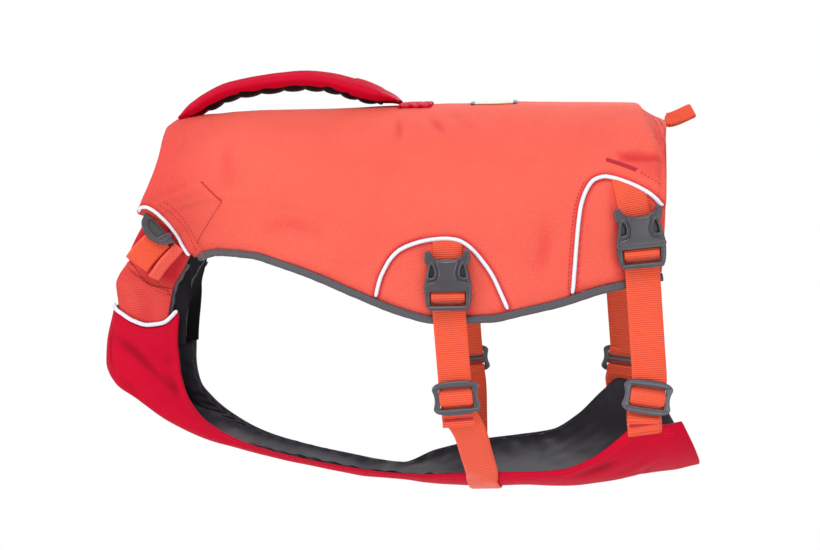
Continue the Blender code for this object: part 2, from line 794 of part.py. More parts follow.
# webbing through a slider, from behind its top bar over the middle bar: (down, out)
SLIDER_THREAD = [(-9.0, -2.75), (-7.2, -2.65), (-6.1, -1.9), (-4.9, 0.0), (-3.8, 1.9), (-2.4, 2.75),
                 (2.5, 2.75), (4.1, 1.6), (4.6, 0.3)]
# webbing round the bar of a buckle's slot and back to the panel: (down, out of the buckle's middle)
BUCKLE_THREAD = [(0.0, -1.2), (1.2, 1.0), (3.6, 1.6), (6.2, -0.2)]


def leaning(degrees):
    """Across and down directions of hardware leaning toward the tail at the bottom."""
    a = math.radians(degrees)
    return Vector((math.cos(a), 0.0, math.sin(a))), Vector((math.sin(a), 0.0, -math.cos(a)))


def build_strap_set(name, spec, side, tag):
    """One belly strap: top webbing, buckle, adjusting webbing, slider and sling anchor."""
    label = name + "_" + tag
    bx, bz = spec["buckle"][0] * MM, spec["buckle"][1] * MM
    across, down = leaning(spec["lean"])
    face = min(on_back(bx + dx * MM, bz + dz * MM, 0.0)[0].y for dx in (-15, 0, 15) for dz in (-20, 0, 20))
    back = face - BUCKLE_LIFT
    origin = Vector((bx, back - BUCKLE_THICK / 2, bz))
    loops = [mirrored_loop(BUCKLE_HALF), BUCKLE_EYE, [(-a, b) for a, b in BUCKLE_EYE], BUCKLE_SLOT]
    plate("buckle_" + label, loops, BUCKLE_THICK, origin, across, down, side)
    build_top_web(label, spec, side, origin + down * (-6.0 * MM))

    slider = Vector((spec["slider"][0] * MM, back - 0.2 * MM, spec["slider"][1] * MM))
    s_across, s_down = leaning(spec["slider_lean"])
    plate("slider_" + label, [SLIDER_OUTER] + SLIDER_HOLES, PLATE_THICK, slider, s_across, s_down, side)
    build_adjusting_web(label, side, (origin, across, down), (slider, s_across, s_down))
    build_anchor(label, spec, side, slider, s_across, s_down)


def build_top_web(label, spec, side, end):
    """Webbing laid flat on the panel, its lower end under the buckle."""
    tx, tz = spec["top"][0] * MM, spec["top"][1] * MM
    path, normals = [], []
    for k in range(6):
        f = k / 5
        p, n = on_back(tx + (end.x - tx) * f, tz + (end.z - tz) * f, GAP + WEB_THICK / 2)
        path.append(p)
        normals.append(n)
    strap("web_top_" + label, WEB, path, normals, side, WEB_WIDE - 1.5 * MM, WEB_THICK)


def build_adjusting_web(label, side, buckle, slider):
    """Webbing from the buckle's lower slot down into the slider."""
    origin, across, down = buckle
    plate_at, s_across, s_down = slider
    low = origin + down * (8.6 * MM)
    behind = BUCKLE_THICK / 2 + GAP + WEB_THICK / 2
    path = [low + down * (b * MM) + OUTWARD * (n * MM) for b, n in BUCKLE_THREAD]
    path.append(low + down * (9.2 * MM) - OUTWARD * behind)
    path.append(low + down * (14.5 * MM) - OUTWARD * behind)
    in_buckle = len(path)
    top = plate_at + s_down * (-14.0 * MM) + OUTWARD * (-2.75 * MM)
    start = path[-1]
    for f in (0.25, 0.5, 0.75):
        path.append(start + (top - start) * f)
    between = len(path)
    path.append(top)
    for b, n in SLIDER_THREAD:
        path.append(plate_at + s_down * (b * MM) + OUTWARD * (n * MM))
    hinge = s_across.lerp(across, 0.5).normalized()
    frames = []
    for k, (point, along) in enumerate(zip(path, tangents(path))):
        wide = across if k < in_buckle else (hinge if k < between else s_across)
        wide = (wide - along * wide.dot(along)).normalized()
        frames.append((mirror_point(point, side), mirror_point(wide, side),
                       mirror_point(along.cross(wide).normalized(), side)))
    sweep("web_adjust_" + label, WEB, frames, slab(WEB_WIDE - 0.4 * MM, WEB_THICK))


def on_sling(x, v):
    """Point of the sling's outer face at station x in column v, and its normal."""
    low, high = 0.3, 1.0
    for _ in range(30):
        u = 0.5 * (low + high)
        if sling_point(u, v).x < x:
            low = u
        else:
            high = u
    return sling_point(u, v), facing(sling_point, u, v, -1.0)


def anchor_path(spec, tag, slider, s_across, s_down):
    """Left-side course of an anchor web behind the slider and down to the sling.

    Each step is a point, the direction of the web's width and the direction it faces.
    """
    back = -(PLATE_THICK / 2 + GAP * 3 + WEB_THICK * 1.5)
    path = [slider + s_down * (b * MM) + OUTWARD * back for b in (6.6, 10.0, 14.0)]
    hints = [None] * len(path)
    for x, y, z in spec["fall_" + tag]:
        path.append(Vector((x, y, z)) * MM)
        hints.append(OUTWARD)
    for x, v in spec["hug_" + tag]:
        point, normal = on_sling(x * MM, v)
        path.append(point + normal * (GAP * 3 + WEB_THICK / 2))
        hints.append(normal)
    steps = []
    for point, along, hint in zip(path, tangents(path), hints):
        wide = s_across if hint is None else hint.cross(along)
        wide = (wide - along * wide.dot(along)).normalized()
        if wide.x < 0:
            wide = -wide
        face = along.cross(wide).normalized()
        if face.y > 0:
            face = -face
        steps.append((point, wide, face))
    return steps


def build_anchor(label, spec, side, slider, s_across, s_down):
    """Webbing folded over the slider's lower bar and carried down to the sling."""
    steps = anchor_path(spec, label.split("_")[1], slider, s_across, s_down)
    step = WEB_THICK + GAP
    fold = []
    length = 0.0
    for k, (point, wide, face) in enumerate(steps):
        if k > 0:
            length += (point - steps[k - 1][0]).length
        if length > spec["fold"] * MM:
            break
        fold.append((point + face * step, wide, face))
    frames = fold[::-1]
    head, head_wide, head_face = steps[0]
    for degrees in (45, 90, 135):
        a = math.radians(degrees)
        turn = head_face * math.cos(a) - s_down * math.sin(a)
        frames.append((head + (head_face + turn) * (step / 2), head_wide, turn))
    for point, wide, face in steps:
        frames.append((point, wide, -face))
    frames = [tuple(mirror_point(q, side) for q in frame) for frame in frames]
    sweep("web_anchor_" + label, WEB, frames, slab(WEB_WIDE - 0.4 * MM, WEB_THICK))


# ---------------------------------------------------------------- neck closure
LOCK_OUTLINE = [(-13.6, 0), (13.6, 0), (13.8, 3), (11.2, 7.4), (5.6, 10.7), (-0.6, 12), (-7, 10.9),
                (-12, 7.6), (-14.0, 3.6)]
LOCK_SLIT = [(-9.6, 2.2), (9.2, 2.2), (8.2, 4.8), (-8.2, 4.8)]
LOCK_SEAT = rows("x z", (-215.0, -91.5))[0]
LOCK_LEAN = 42.7                # degrees from level, down toward the tail
NECK_WEB = rows("x z", (-215.0, -100.5), (-219.0, -105.3), (-223.0, -110.0), (-227.0, -114.8),
                (-231.2, -119.8))
NECK_ROLL = rows("x z", (-203.6, -109.8), (-209.0, -116.4), (-214.4, -123.0), (-220.4, -130.4))


def tongue_strip(name, colour, table, side, wide, thick, lift):
    """Strip lying over a tongue through the places of a table."""
    seats = [on_tongue(r["x"], r["z"], lift + thick / 2) for r in table]
    strap(name, colour, [p for p, n in seats], [n for p, n in seats], side, wide, thick)


def build_neck_closures():
    """Ladder lock, its webbing fold and the rolled tail on each neck tongue."""
    a = math.radians(LOCK_LEAN)
    across = Vector((math.cos(a), 0.0, -math.sin(a)))
    down = Vector((-math.sin(a), 0.0, -math.cos(a)))
    for side, tag in SIDES:
        tongue_strip("neck_web_" + tag, WEB, NECK_WEB, side, NECK_WEB_WIDE, WEB_THICK, GAP * 2)
        tongue_strip("neck_roll_" + tag, ORANGE, NECK_ROLL, side, ROLL_WIDE, ROLL_THICK, GAP * 2.7)
        middle, n = on_tongue(LOCK_SEAT["x"], LOCK_SEAT["z"], GAP * 3 + WEB_THICK + 1.7 * MM)
        flat_across = (across - n * across.dot(n)).normalized()
        flat_down = (down - n * down.dot(n) - flat_across * down.dot(flat_across)).normalized()
        plate("neck_lock_" + tag, [LOCK_OUTLINE, LOCK_SLIT], PLATE_THICK, middle + flat_down * (2.4 * MM),
              flat_across, flat_down, side)


# ---------------------------------------------------------------- handle, tail loop, label
HANDLE = rows(
    "x z wide high",
    (-206, 1.7, 13, 1.6),
    (-201, 3.9, 12.5, 3.2),
    (-194.5, 8.3, 12.5, 5.6),
    (-184.5, 14.8, 12.5, 6.8),
    (-166, 23, 12.8, 7.4),
    (-139.5, 28, 13, 7.6),
    (-113.5, 30.7, 13, 7.8),
    (-100.7, 31.2, 13, 7.9),
    (-88, 30.3, 13.2, 7.9),
    (-75, 28.2, 13.3, 8),
    (-62.5, 24.6, 13.6, 8.2),
    (-50, 21, 14, 8.2),
    (-38, 17.5, 14.3, 6.8),
    (-27, 14.9, 14.6, 4.4),
    (-19, 11.9, 15, 1.6),
)


def handle_frames():
    """Centre line of the handle as (point, up, half width, half height)."""
    centre = [Vector((r["x"], 0.0, r["z"])) for r in HANDLE]
    sizes = [Vector((r["wide"], r["high"], 0.0)) for r in HANDLE]
    path = catmull(centre, 2)
    frames = []
    for point, along, size in zip(path, tangents(path), catmull(sizes, 2)):
        up = Vector((-along.z, 0.0, along.x))
        frames.append((point, up, size.x, size.y))
    return frames


def handle_loft(name, colour, frames, profile):
    """Loft a profile of (half width, half height) along the handle."""
    across = Vector((0.0, 1.0, 0.0))
    loops = []
    for point, up, wide, high in frames:
        loops.append([point + across * a + up * b for a, b in profile(wide, high)])
    return loft(name, colour, loops)


def cover_profile(wide, high):
    """Arched cover open below."""
    outer, inner = [], []
    skin = min(HANDLE_SKIN, high * 0.8)
    for k in range(9):
        a = math.radians(-12 + 204 * k / 8)
        outer.append((wide * math.cos(a), high * math.sin(a)))
        inner.append(((wide - skin) * math.cos(a), (high - skin) * math.sin(a)))
    return outer + inner[::-1]


def padding_profile(wide, high):
    """Padded grey strip inside the cover, showing below it."""
    skin = min(HANDLE_SKIN, high * 0.8) + GAP * 1.5
    top = max(high - skin, 0.3 * MM)
    low = high * 1.1 + 0.6 * MM
    out = []
    for k in range(12):
        a = 2 * math.pi * k / 12
        out.append(((wide - skin) * math.cos(a), (top if math.sin(a) > 0 else low) * math.sin(a)))
    return out


def top_patch(name, colour, ends, half_width, wall, columns, lines):
    """Flat piece lying over the spine of the back panel between two stations."""
    def face(u, v):
        x = (ends[0] + (ends[1] - ends[0]) * u)
        low, high = 0.0, 0.6
        for _ in range(26):
            t = 0.5 * (low + high)
            if -back_at(x, t).y < abs(v) * half_width:
                low = t
            else:
                high = t
        point = back_at(x, 0.5 * (low + high))
        if v > 0:
            point.y = -point.y
        return point
    grid_shell(name, colour, face, spaced(columns), spaced(lines, -1.0, 1.0), lambda u, v: wall,
               lift=GAP + wall)


def build_handle():
    """Grab handle: red cover, grey padding and the strip that sews it down."""
    frames = handle_frames()
    handle_loft("handle_cover", RED, frames, cover_profile)
    handle_loft("handle_padding", GREY, frames[5:-3], padding_profile)
    top_patch("handle_strip", RED, (-17.5 * MM, 7.0 * MM), 15.0 * MM, STRIP_WALL, 6, 8)


# sewn to the tail edge across the spine, then turned on edge; turn is the lean of its width
# from level, in degrees
TAIL_LOOP = plain_rows(
    "x z turn",
    (195.2, -3.6, 50), (198.2, -3.9, 62), (202.0, -3.0, 72), (207.0, -1.4, 79), (214.5, 1.7, 80),
    (217.2, 2.9, 80),
)


def build_tail_loop():
    """Webbing loop behind the tail edge on the spine: two layers joined by a round fold."""
    points = [Vector((r["x"], 0.0, r["z"])) * MM for r in TAIL_LOOP]
    steps = []
    for point, along, r in zip(points, tangents(points), TAIL_LOOP):
        turn = math.radians(r["turn"])
        across = Vector((0.0, math.cos(turn), math.sin(turn)))
        across = (across - along * across.dot(along)).normalized()
        steps.append((point, across, along.cross(across).normalized(), along))
    frames = [(point + out * TAIL_LOOP_HALF_GAP, across, out) for point, across, out, along in steps]
    end, across, out, along = steps[-1]
    for degrees in (45, 90, 135):
        a = math.radians(degrees)
        bend = out * math.cos(a) + along * math.sin(a)
        frames.append((end + bend * TAIL_LOOP_HALF_GAP, across, bend))
    frames += [(point - out * TAIL_LOOP_HALF_GAP, across, -out)
               for point, across, out, along in reversed(steps)]
    sweep("tail_loop", WEB, frames, slab(TAIL_LOOP_WIDE, TAIL_LOOP_THICK))


def build_label():
    """Bare label on the spine."""
    top_patch("spine_label", PALE, (39.5 * MM, 76.5 * MM), 12.0 * MM, LABEL_WALL, 4, 6)


clear_scene()
bpy.context.scene.collection.children.link(PARTS)
build_back()
build_bindings()
build_piping()
build_sling()
build_tongues()
build_neck_closures()
for strap_name, strap_spec in STRAPS.items():
    for hand, hand_tag in SIDES:
        build_strap_set(strap_name, strap_spec, hand, hand_tag)
build_handle()
build_tail_loop()
build_label()
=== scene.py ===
"""Looks of a dog life jacket: cloth, webbing, plastic, piping and stitching round its solids.

Metres, +X toward the tail, +Z up, the left side at -Y.  Tables of the jacket's own shape are
in millimetres and are turned into metres where they are read.
"""
import logging
import math
from dataclasses import dataclass, field
from enum import Enum
from typing import Callable, Iterable, Sequence

import bpy
import numpy as np
from mathutils import Matrix, Vector
from mathutils.bvhtree import BVHTree


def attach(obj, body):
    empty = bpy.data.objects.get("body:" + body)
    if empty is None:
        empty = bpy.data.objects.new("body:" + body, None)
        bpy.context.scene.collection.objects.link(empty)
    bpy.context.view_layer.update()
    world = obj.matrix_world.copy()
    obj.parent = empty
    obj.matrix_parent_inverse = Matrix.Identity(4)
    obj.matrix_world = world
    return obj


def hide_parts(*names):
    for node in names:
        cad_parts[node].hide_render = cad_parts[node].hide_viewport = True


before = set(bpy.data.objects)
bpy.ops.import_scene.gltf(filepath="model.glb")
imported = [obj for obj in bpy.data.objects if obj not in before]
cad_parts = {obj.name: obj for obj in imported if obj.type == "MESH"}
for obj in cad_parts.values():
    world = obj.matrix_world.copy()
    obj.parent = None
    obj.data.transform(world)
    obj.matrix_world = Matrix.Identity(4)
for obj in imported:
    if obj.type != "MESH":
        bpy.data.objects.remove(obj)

LOG = logging.getLogger("life_jacket")
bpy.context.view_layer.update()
MM = 0.001
GAP = 0.3 * MM
TURN = 2.0 * math.pi
Array = np.ndarray
SIDEWAYS = np.array([0.0, 1.0, 0.0])
Material = bpy.types.Material
Piece = bpy.types.Object
Colour = tuple[float, float, float]
Place = tuple[float, float]


class Side(Enum):
    """The two halves of the jacket; the value is the sign of Y."""

    LEFT = -1
    RIGHT = 1

    @property
    def tag(self) -> str:
        """Word used in the names of pieces."""
        return self.name.lower()


class Look(Enum):
    """Direction from which a place on the jacket is given."""

    LEFT = "x and z, seen from the left"
    RIGHT = "x and z, seen from the right"
    TOP = "x and y, seen from above"

    @staticmethod
    def of(side: Side) -> "Look":
        """The look onto one side of the jacket."""
        return Look.LEFT if side is Side.LEFT else Look.RIGHT


# ---------------------------------------------------------------- curves and small maths
def smooth(value: Array | float) -> Array:
    """Ease values held to 0..1."""
    held = np.clip(value, 0.0, 1.0)
    return held * held * (3.0 - 2.0 * held)


def unit(vectors: Array) -> Array:
    """Vectors scaled to length one."""
    return vectors / np.maximum(np.linalg.norm(vectors, axis=-1, keepdims=True), 1e-12)


@dataclass(frozen=True)
class Track:
    """Smooth curve through the rows of a short table, straight beyond its ends."""

    keys: Array
    values: Array

    def __call__(self, at: Array | float) -> Array:
        """Value at one or many keys.

        Args:
            at: Keys, also beyond the table.

        Returns:
            A value for each key.
        """
        x, y = self.keys, self.values
        at = np.asarray(at, float)
        step = np.diff(x)
        rise = np.diff(y) / step
        slope = np.empty_like(y)
        slope[0], slope[-1] = rise[0], rise[-1]
        turn = rise[:-1] * rise[1:]
        total = np.where(turn > 0, rise[:-1] + rise[1:], 1.0)
        slope[1:-1] = np.where(turn > 0, 2.0 * turn / total, 0.0)
        i = np.clip(np.searchsorted(x, at) - 1, 0, len(step) - 1)
        f = np.clip((at - x[i]) / step[i], 0.0, 1.0)
        value = (1 + 2 * f) * (1 - f) ** 2 * y[i] + f * (1 - f) ** 2 * step[i] * slope[i]
        value = value + f * f * (3 - 2 * f) * y[i + 1] + f * f * (f - 1) * step[i] * slope[i + 1]
        value = value + np.where(at < x[0], rise[0] * (at - x[0]), 0.0)
        return value + np.where(at > x[-1], rise[-1] * (at - x[-1]), 0.0)


def tracks(columns: str, *lines: Sequence[float], plain: bool = False) -> dict[str, Track]:
    """Curves of a table's columns over its first column.

    Args:
        columns: Names of the columns.
        lines: Rows in millimetres, or plain numbers.
        plain: Whether the rows are plain numbers.

    Returns:
        One curve for each column after the first.
    """
    names = columns.split()
    table = np.array(lines, float) * (1.0 if plain else MM)
    return {name: Track(table[:, 0], table[:, k]) for k, name in enumerate(names) if k > 0}


def catmull(points: Array, steps: int, closed: bool = False) -> Array:
    """Smooth path or closed loop through points, with a number of steps between each two.

    Args:
        points: Points that the curve goes through.
        steps: Number of steps between two points.
        closed: Whether its end joins its start.

    Returns:
        The points of the curve.
    """
    points = np.asarray(points, float)
    first, last = (points[-1:], points[:2]) if closed else (points[:1], points[-1:])
    padded = np.concatenate([first, points, last])
    out = []
    for p0, p1, p2, p3 in zip(padded[:-3], padded[1:-2], padded[2:-1], padded[3:]):
        for f in np.arange(steps) / steps:
            out.append(0.5 * (2 * p1 + (p2 - p0) * f + (2 * p0 - 5 * p1 + 4 * p2 - p3) * f ** 2
                              + (3 * p1 - p0 - 3 * p2 + p3) * f ** 3))
    return np.array(out if closed else [*out, points[-1]])


def lengths(path: Array) -> Array:
    """Distance along a path at each of its points."""
    steps = np.linalg.norm(np.diff(path, axis=0), axis=-1)
    return np.concatenate([[0.0], np.cumsum(steps)])


def resample(path: Array, count: int) -> Array:
    """A path with evenly spaced points.

    Args:
        path: The path.
        count: Number of its new points.

    Returns:
        The path with its new points.
    """
    along = lengths(path)
    goal = np.linspace(0.0, along[-1], count)
    return np.stack([np.interp(goal, along, path[:, k]) for k in range(path.shape[1])], 1)


def directions(path: Array) -> Array:
    """Unit direction of a path at each of its points.

    Args:
        path: The path.

    Returns:
        A direction at each point.
    """
    ahead = np.concatenate([path[1:], path[-1:]])
    behind = np.concatenate([path[:1], path[:-1]])
    return unit(ahead - behind)


def round_angles(count: int) -> Array:
    """Even angles round a full turn."""
    return np.linspace(0.0, TURN, count, endpoint=False)


def drawn(at: Array | float, run: Array, values: Array) -> Array:
    """Vectors at distances along a run, between those given."""
    return np.stack([np.interp(at, run, values[:, k]) for k in range(3)], -1)


def parted(seats: Iterable[tuple[Array, Array]]) -> tuple[Array, Array]:
    """Points and directions of a list of seats, as two arrays."""
    points, ways = zip(*seats)
    return np.array(points), np.array(ways)


def halves_grid(rows: int, columns: int) -> tuple[Array, Array]:
    """Grids of u from 0 to 1 down the rows and of v from -1 to 1 over the columns.

    Args:
        rows: Number of rows.
        columns: Number of columns, one more if it is even.

    Returns:
        The two grids.
    """
    half = np.linspace(0.0, 1.0, columns // 2 + 1)
    down, across = np.linspace(0.0, 1.0, rows)[:, None], np.concatenate([-half[:0:-1], half])
    u, v = np.broadcast_arrays(down, across)
    return u, v


def from_middle(points: Array) -> Array:
    """Distance of a grid's points from its middle column, along their rows.

    Args:
        points: Grid of points.

    Returns:
        A distance for each, below zero on the first half of its row.
    """
    step = np.linalg.norm(np.diff(points, axis=1), axis=-1)
    run = np.concatenate([np.zeros((len(step), 1)), np.cumsum(step, 1)], 1)
    middle = points.shape[1] // 2
    return run - run[:, middle:middle + 1]


def laid_out(like: Array, along: Array, across: Array, painted_shade: Array | float = 0.0) -> Array:
    """Cloth coordinates of a grid: metres along, metres across and share of painted shade."""
    return np.stack(np.broadcast_arrays(along, across, painted_shade, like[..., 0])[:3], -1)


def mirrored(points: Array, side: Side) -> Array:
    """Left-side points or directions, mirrored for the right side.

    Args:
        points: Left-side points or directions.
        side: The side that they are wanted for.

    Returns:
        A copy for that side.
    """
    out = np.array(points, float)
    if side is Side.RIGHT:
        out[..., 1] = -out[..., 1]
    return out


def waves(points: Array, seed: int, size: float, lengths_mm: Sequence[float]) -> Array:
    """Low uneven swell over a form.

    Args:
        points: Places on the form.
        seed: Seed of the swell's directions and phases.
        size: Rough height of the swell in millimetres.
        lengths_mm: Wave lengths, each used three times.

    Returns:
        Height at each place, in metres.
    """
    rng = np.random.default_rng(seed)
    total = np.zeros(points.shape[:-1])
    for length in lengths_mm:
        for _ in range(3):
            heading = unit(rng.normal(size=3))
            phase = rng.uniform(0, TURN)
            total = total + np.sin(points @ heading * (TURN / (length * MM)) + phase)
    return total * size * MM / (1.6 * math.sqrt(3.0 * len(lengths_mm)))


def hollows(rise: Array, reach: int, full: float) -> Array:
    """How far each place of a relief lies below its surroundings.

    Args:
        rise: Relief over a grid of rows and columns, in metres.
        reach: Half the side of the surroundings, in grid steps.
        full: Depth that counts as one.

    Returns:
        Shares from 0 to 1.
    """
    wide = 2 * reach + 1
    level = rise
    for axis in (0, 1):
        pad = [(0, 0), (0, 0)]
        pad[axis] = (reach + 1, reach)
        total = np.cumsum(np.pad(level, pad, mode="edge"), axis=axis)
        high = np.take(total, range(wide, total.shape[axis]), axis=axis)
        level = (high - np.take(total, range(0, total.shape[axis] - wide), axis=axis)) / wide
    return smooth((level - rise) / full)


# ---------------------------------------------------------------- shaders
def worked(operation: str, swapped: bool = False) -> Callable[["Wire", "Wire | float"], "Wire"]:
    """Operator that joins a wire with another value in one Math node.

    Args:
        operation: The node's operation.
        swapped: Whether the other value comes first.

    Returns:
        The operator.
    """
    def operator(self: "Wire", other: "Wire | float") -> "Wire":
        """Result of the operation."""
        pair = (other, self) if swapped else (self, other)
        return self.shade.maths(operation, *pair)
    return operator


class Wire:
    """A shader socket that takes part in expressions."""

    def __init__(self, shade: "Shade", socket: bpy.types.NodeSocket) -> None:
        """Keep the socket with the tree that it belongs to."""
        self.shade = shade
        self.socket = socket

    __add__ = __radd__ = worked("ADD")
    __mul__ = __rmul__ = worked("MULTIPLY")
    __sub__, __rsub__ = worked("SUBTRACT"), worked("SUBTRACT", True)
    __truediv__, __pow__ = worked("DIVIDE"), worked("POWER")

    def sine(self) -> "Wire":
        """Sine of an angle in radians."""
        return self.shade.maths("SINE", self)

    def size(self) -> "Wire":
        """Absolute value."""
        return self.shade.maths("ABSOLUTE", self)

    def held(self) -> "Wire":
        """Value held to 0..1."""
        return self.shade.node("Clamp", inputs={"Value": self})

    def eased(self, low: float, high: float) -> "Wire":
        """Smooth step between two values."""
        settings = {"interpolation_type": "SMOOTHSTEP"}
        return self.shade.node("MapRange", settings, {"Value": self, "From Min": low, "From Max": high})


class Shade:
    """Node tree of one material, around its Principled shader."""

    def __init__(self, name: str) -> None:
        """Make the material.

        Args:
            name: Name of the material.
        """
        self.material = bpy.data.materials.new(name)
        self.material.use_nodes = True
        self.tree = self.material.node_tree
        self.shader = self.tree.nodes["Principled BSDF"]

    def node(self, kind: str, settings: dict[str, object] | None = None,
             inputs: dict[str | int, object] | None = None, out: int | str = 0) -> Wire:
        """Add a node.

        Args:
            kind: Node type without its ShaderNode prefix.
            settings: Properties of the node, set first.
            inputs: Values or wires of its sockets.
            out: The output that the wire starts from.

        Returns:
            Wire from the output.
        """
        made = self.tree.nodes.new("ShaderNode" + kind)
        for key, value in (settings or {}).items():
            setattr(made, key, value)
        for key, value in (inputs or {}).items():
            if isinstance(value, Wire):
                self.tree.links.new(value.socket, made.inputs[key])
            else:
                made.inputs[key].default_value = value
        return Wire(self, made.outputs[out])

    def maths(self, operation: str, first: Wire | float, second: Wire | float | None = None) -> Wire:
        """One Math node.

        Args:
            operation: The node's operation.
            first: First value.
            second: Second value, if the operation has one.

        Returns:
            The result.
        """
        inputs: dict[str | int, object] = {0: first}
        if second is not None:
            inputs[1] = second
        return self.node("Math", {"operation": operation}, inputs)

    def mix(self, factor: Wire | float, first: Wire | Colour, second: Wire | Colour) -> Wire:
        """Blend of two colours."""
        pair = [value if isinstance(value, Wire) else (*value, 1.0) for value in (first, second)]
        return self.node("Mix", {"data_type": "RGBA"}, {0: factor, 6: pair[0], 7: pair[1]}, 2)

    def cloth(self) -> tuple[Wire, Wire, Wire]:
        """The cloth's own coordinates: metres along, metres across, and the share of painted shade."""
        place = self.node("Attribute", {"attribute_name": "cloth"}, out="Vector")
        return tuple(self.node("SeparateXYZ", inputs={0: place}, out=k) for k in range(3))

    def noise(self, scale: float, detail: float) -> Wire:
        """Noise over the object's own space, about -1 to 1."""
        place = self.node("TexCoord", out="Object")
        return self.node("TexNoise", inputs={"Vector": place, "Scale": scale, "Detail": detail}) * 2.0 - 1.0

    def bump(self, height: Wire, distance: float, strength: float = 1.0) -> Wire:
        """Bump from a height between 0 and 1 that stands for a distance in metres."""
        return self.node("Bump", inputs={"Strength": strength, "Distance": distance, "Height": height})

    def feed(self, **values: object) -> Material:
        """Set or link sockets of the Principled shader by their names with _ for spaces.

        Args:
            values: Value or wire of each socket.

        Returns:
            The material.
        """
        for key, value in values.items():
            socket = self.shader.inputs[key.replace("_", " ")]
            if isinstance(value, Wire):
                self.tree.links.new(value.socket, socket)
            elif isinstance(value, tuple) and len(value) == 3:
                socket.default_value = (*value, 1.0)
            else:
                socket.default_value = value
        return self.material


@dataclass(frozen=True)
class WovenCloth:
    """Plain-weave cloth whose threads show as a diagonal grain of small dots.

    The third cloth value is the share of a darker colour that paints shade into folds,
    beside seams and round the straps.
    """

    name: str
    thread: Colour
    valley: Colour
    painted_shade: Colour
    cell: float = 1.0 * MM
    height: float = 0.32 * MM
    grain: float = 0.76
    rough: float = 0.78
    sheen: float = 0.08
    sheen_tint: Colour = (1.0, 0.6, 0.5)
    gloss: float = 0.22

    def make(self) -> Material:
        """Build the material.

        Returns:
            The material.
        """
        shade = Shade(self.name)
        along, across, fold = shade.cloth()
        wobble = shade.noise(140.0, 2.0) * (0.10 * self.cell)
        warp = ((along + wobble) * (math.pi / self.cell)).sine()
        weft = ((across + wobble) * (math.pi / self.cell)).sine()
        weave = warp * weft * 0.5 + 0.5
        slub = shade.noise(900.0, 1.0)
        height = weave + slub * 0.25
        mottle = shade.noise(24.0, 3.0)
        tone = (weave * self.grain + (1.0 - self.grain) * 0.75 + mottle * 0.10 + slub * 0.14).held()
        # The third cloth value mixes in a darker colour as painted shade in folds, beside seams and round straps.
        colour = shade.mix(fold.held(), shade.mix(tone, self.valley, self.thread), self.painted_shade)
        rough = (self.rough - weave * 0.10 + mottle * 0.04).held()
        normal = shade.bump(height, self.height)
        return shade.feed(Base_Color=colour, Roughness=rough, Normal=normal, Sheen_Weight=self.sheen,
                          Sheen_Roughness=0.45, Sheen_Tint=self.sheen_tint, Specular_IOR_Level=self.gloss)


@dataclass(frozen=True)
class SatinLining:
    """Smooth lining with a soft sheen and a fine diagonal twill."""

    name: str = "lining_satin"
    thread: Colour = (0.046, 0.040, 0.053)
    valley: Colour = (0.021, 0.018, 0.025)
    pitch: float = 1.1 * MM
    rough: float = 0.52
    gloss: float = 0.26
    sheen: float = 0.05

    def make(self) -> Material:
        """Build the material.

        Returns:
            The material.
        """
        shade = Shade(self.name)
        along, across, _ = shade.cloth()
        twill = ((along + across * 0.8) * (TURN / self.pitch)).sine() * 0.5 + 0.5
        cloudy = shade.noise(30.0, 3.0)
        fine = shade.noise(1100.0, 1.0)
        colour = shade.mix((twill * 0.45 + 0.3 + cloudy * 0.25 + fine * 0.12).held(), self.valley, self.thread)
        rough = (self.rough + cloudy * 0.05 + (1.0 - twill) * 0.06).held()
        normal = shade.bump(twill * 0.8 + fine * 0.4, 0.05 * MM)
        return shade.feed(Base_Color=colour, Roughness=rough, Normal=normal, Sheen_Weight=self.sheen,
                          Sheen_Roughness=0.35, Specular_IOR_Level=self.gloss)


@dataclass(frozen=True)
class Webbing:
    """Ribbed webbing with cross ribs, lengthwise columns and firm selvages."""

    name: str
    thread: Colour
    valley: Colour
    half: float = 12.5 * MM
    rib: float = 1.55 * MM
    column: float = 2.5 * MM
    height: float = 0.30 * MM

    def make(self) -> Material:
        """Build the material.

        Returns:
            The material.
        """
        shade = Shade(self.name)
        along, across, _ = shade.cloth()
        columns = (across * (TURN / self.column)).sine()
        lean = columns * (self.rib * 0.05)
        ribs = ((along + lean) * (TURN / self.rib)).sine() * 0.5 + 0.5
        furrow = columns.size() ** 0.6
        edge = (across.size() / self.half).eased(0.86, 0.93)
        fine = shade.noise(1300.0, 1.0)
        face = ribs * (furrow * 0.3 + 0.7)
        height = face * (1.0 - edge) + edge * (ribs * 0.5 + 0.6) + fine * 0.14
        mottle = shade.noise(45.0, 2.0)
        tone = (face * 0.72 + 0.22 + mottle * 0.10 + fine * 0.10 + edge * 0.12).held()
        colour = shade.mix(tone, self.valley, self.thread)
        normal = shade.bump(height, self.height)
        rough = (0.62 - face * 0.12).held()
        return shade.feed(Base_Color=colour, Roughness=rough, Normal=normal, Sheen_Weight=0.2,
                          Sheen_Roughness=0.4, Specular_IOR_Level=0.4)


@dataclass(frozen=True)
class MouldedPlastic:
    """Acetal with a fine spark-eroded face; its edges are lighter, partly rubbed wear and partly painted
    highlight.
    """

    name: str
    body: Colour
    wear_and_highlight: Colour
    rough: float = 0.30

    def make(self) -> Material:
        """Build the material.

        Returns:
            The material.
        """
        shade = Shade(self.name)
        grain = shade.noise(2600.0, 2.0)
        cloudy = shade.noise(70.0, 3.0)
        # Edges lighter by pointiness: partly rubbed wear, partly painted highlight.
        edge = shade.node("NewGeometry", out="Pointiness").eased(0.51, 0.60)
        colour = shade.mix((edge * 0.8 + cloudy * 0.12 + 0.06).held(), self.body, self.wear_and_highlight)
        rough = (self.rough + cloudy * 0.06 - edge * 0.06).held()
        normal = shade.bump(grain * 0.5 + 0.5, 0.03 * MM, 0.8)
        return shade.feed(Base_Color=colour, Roughness=rough, Normal=normal, Specular_IOR_Level=0.5)


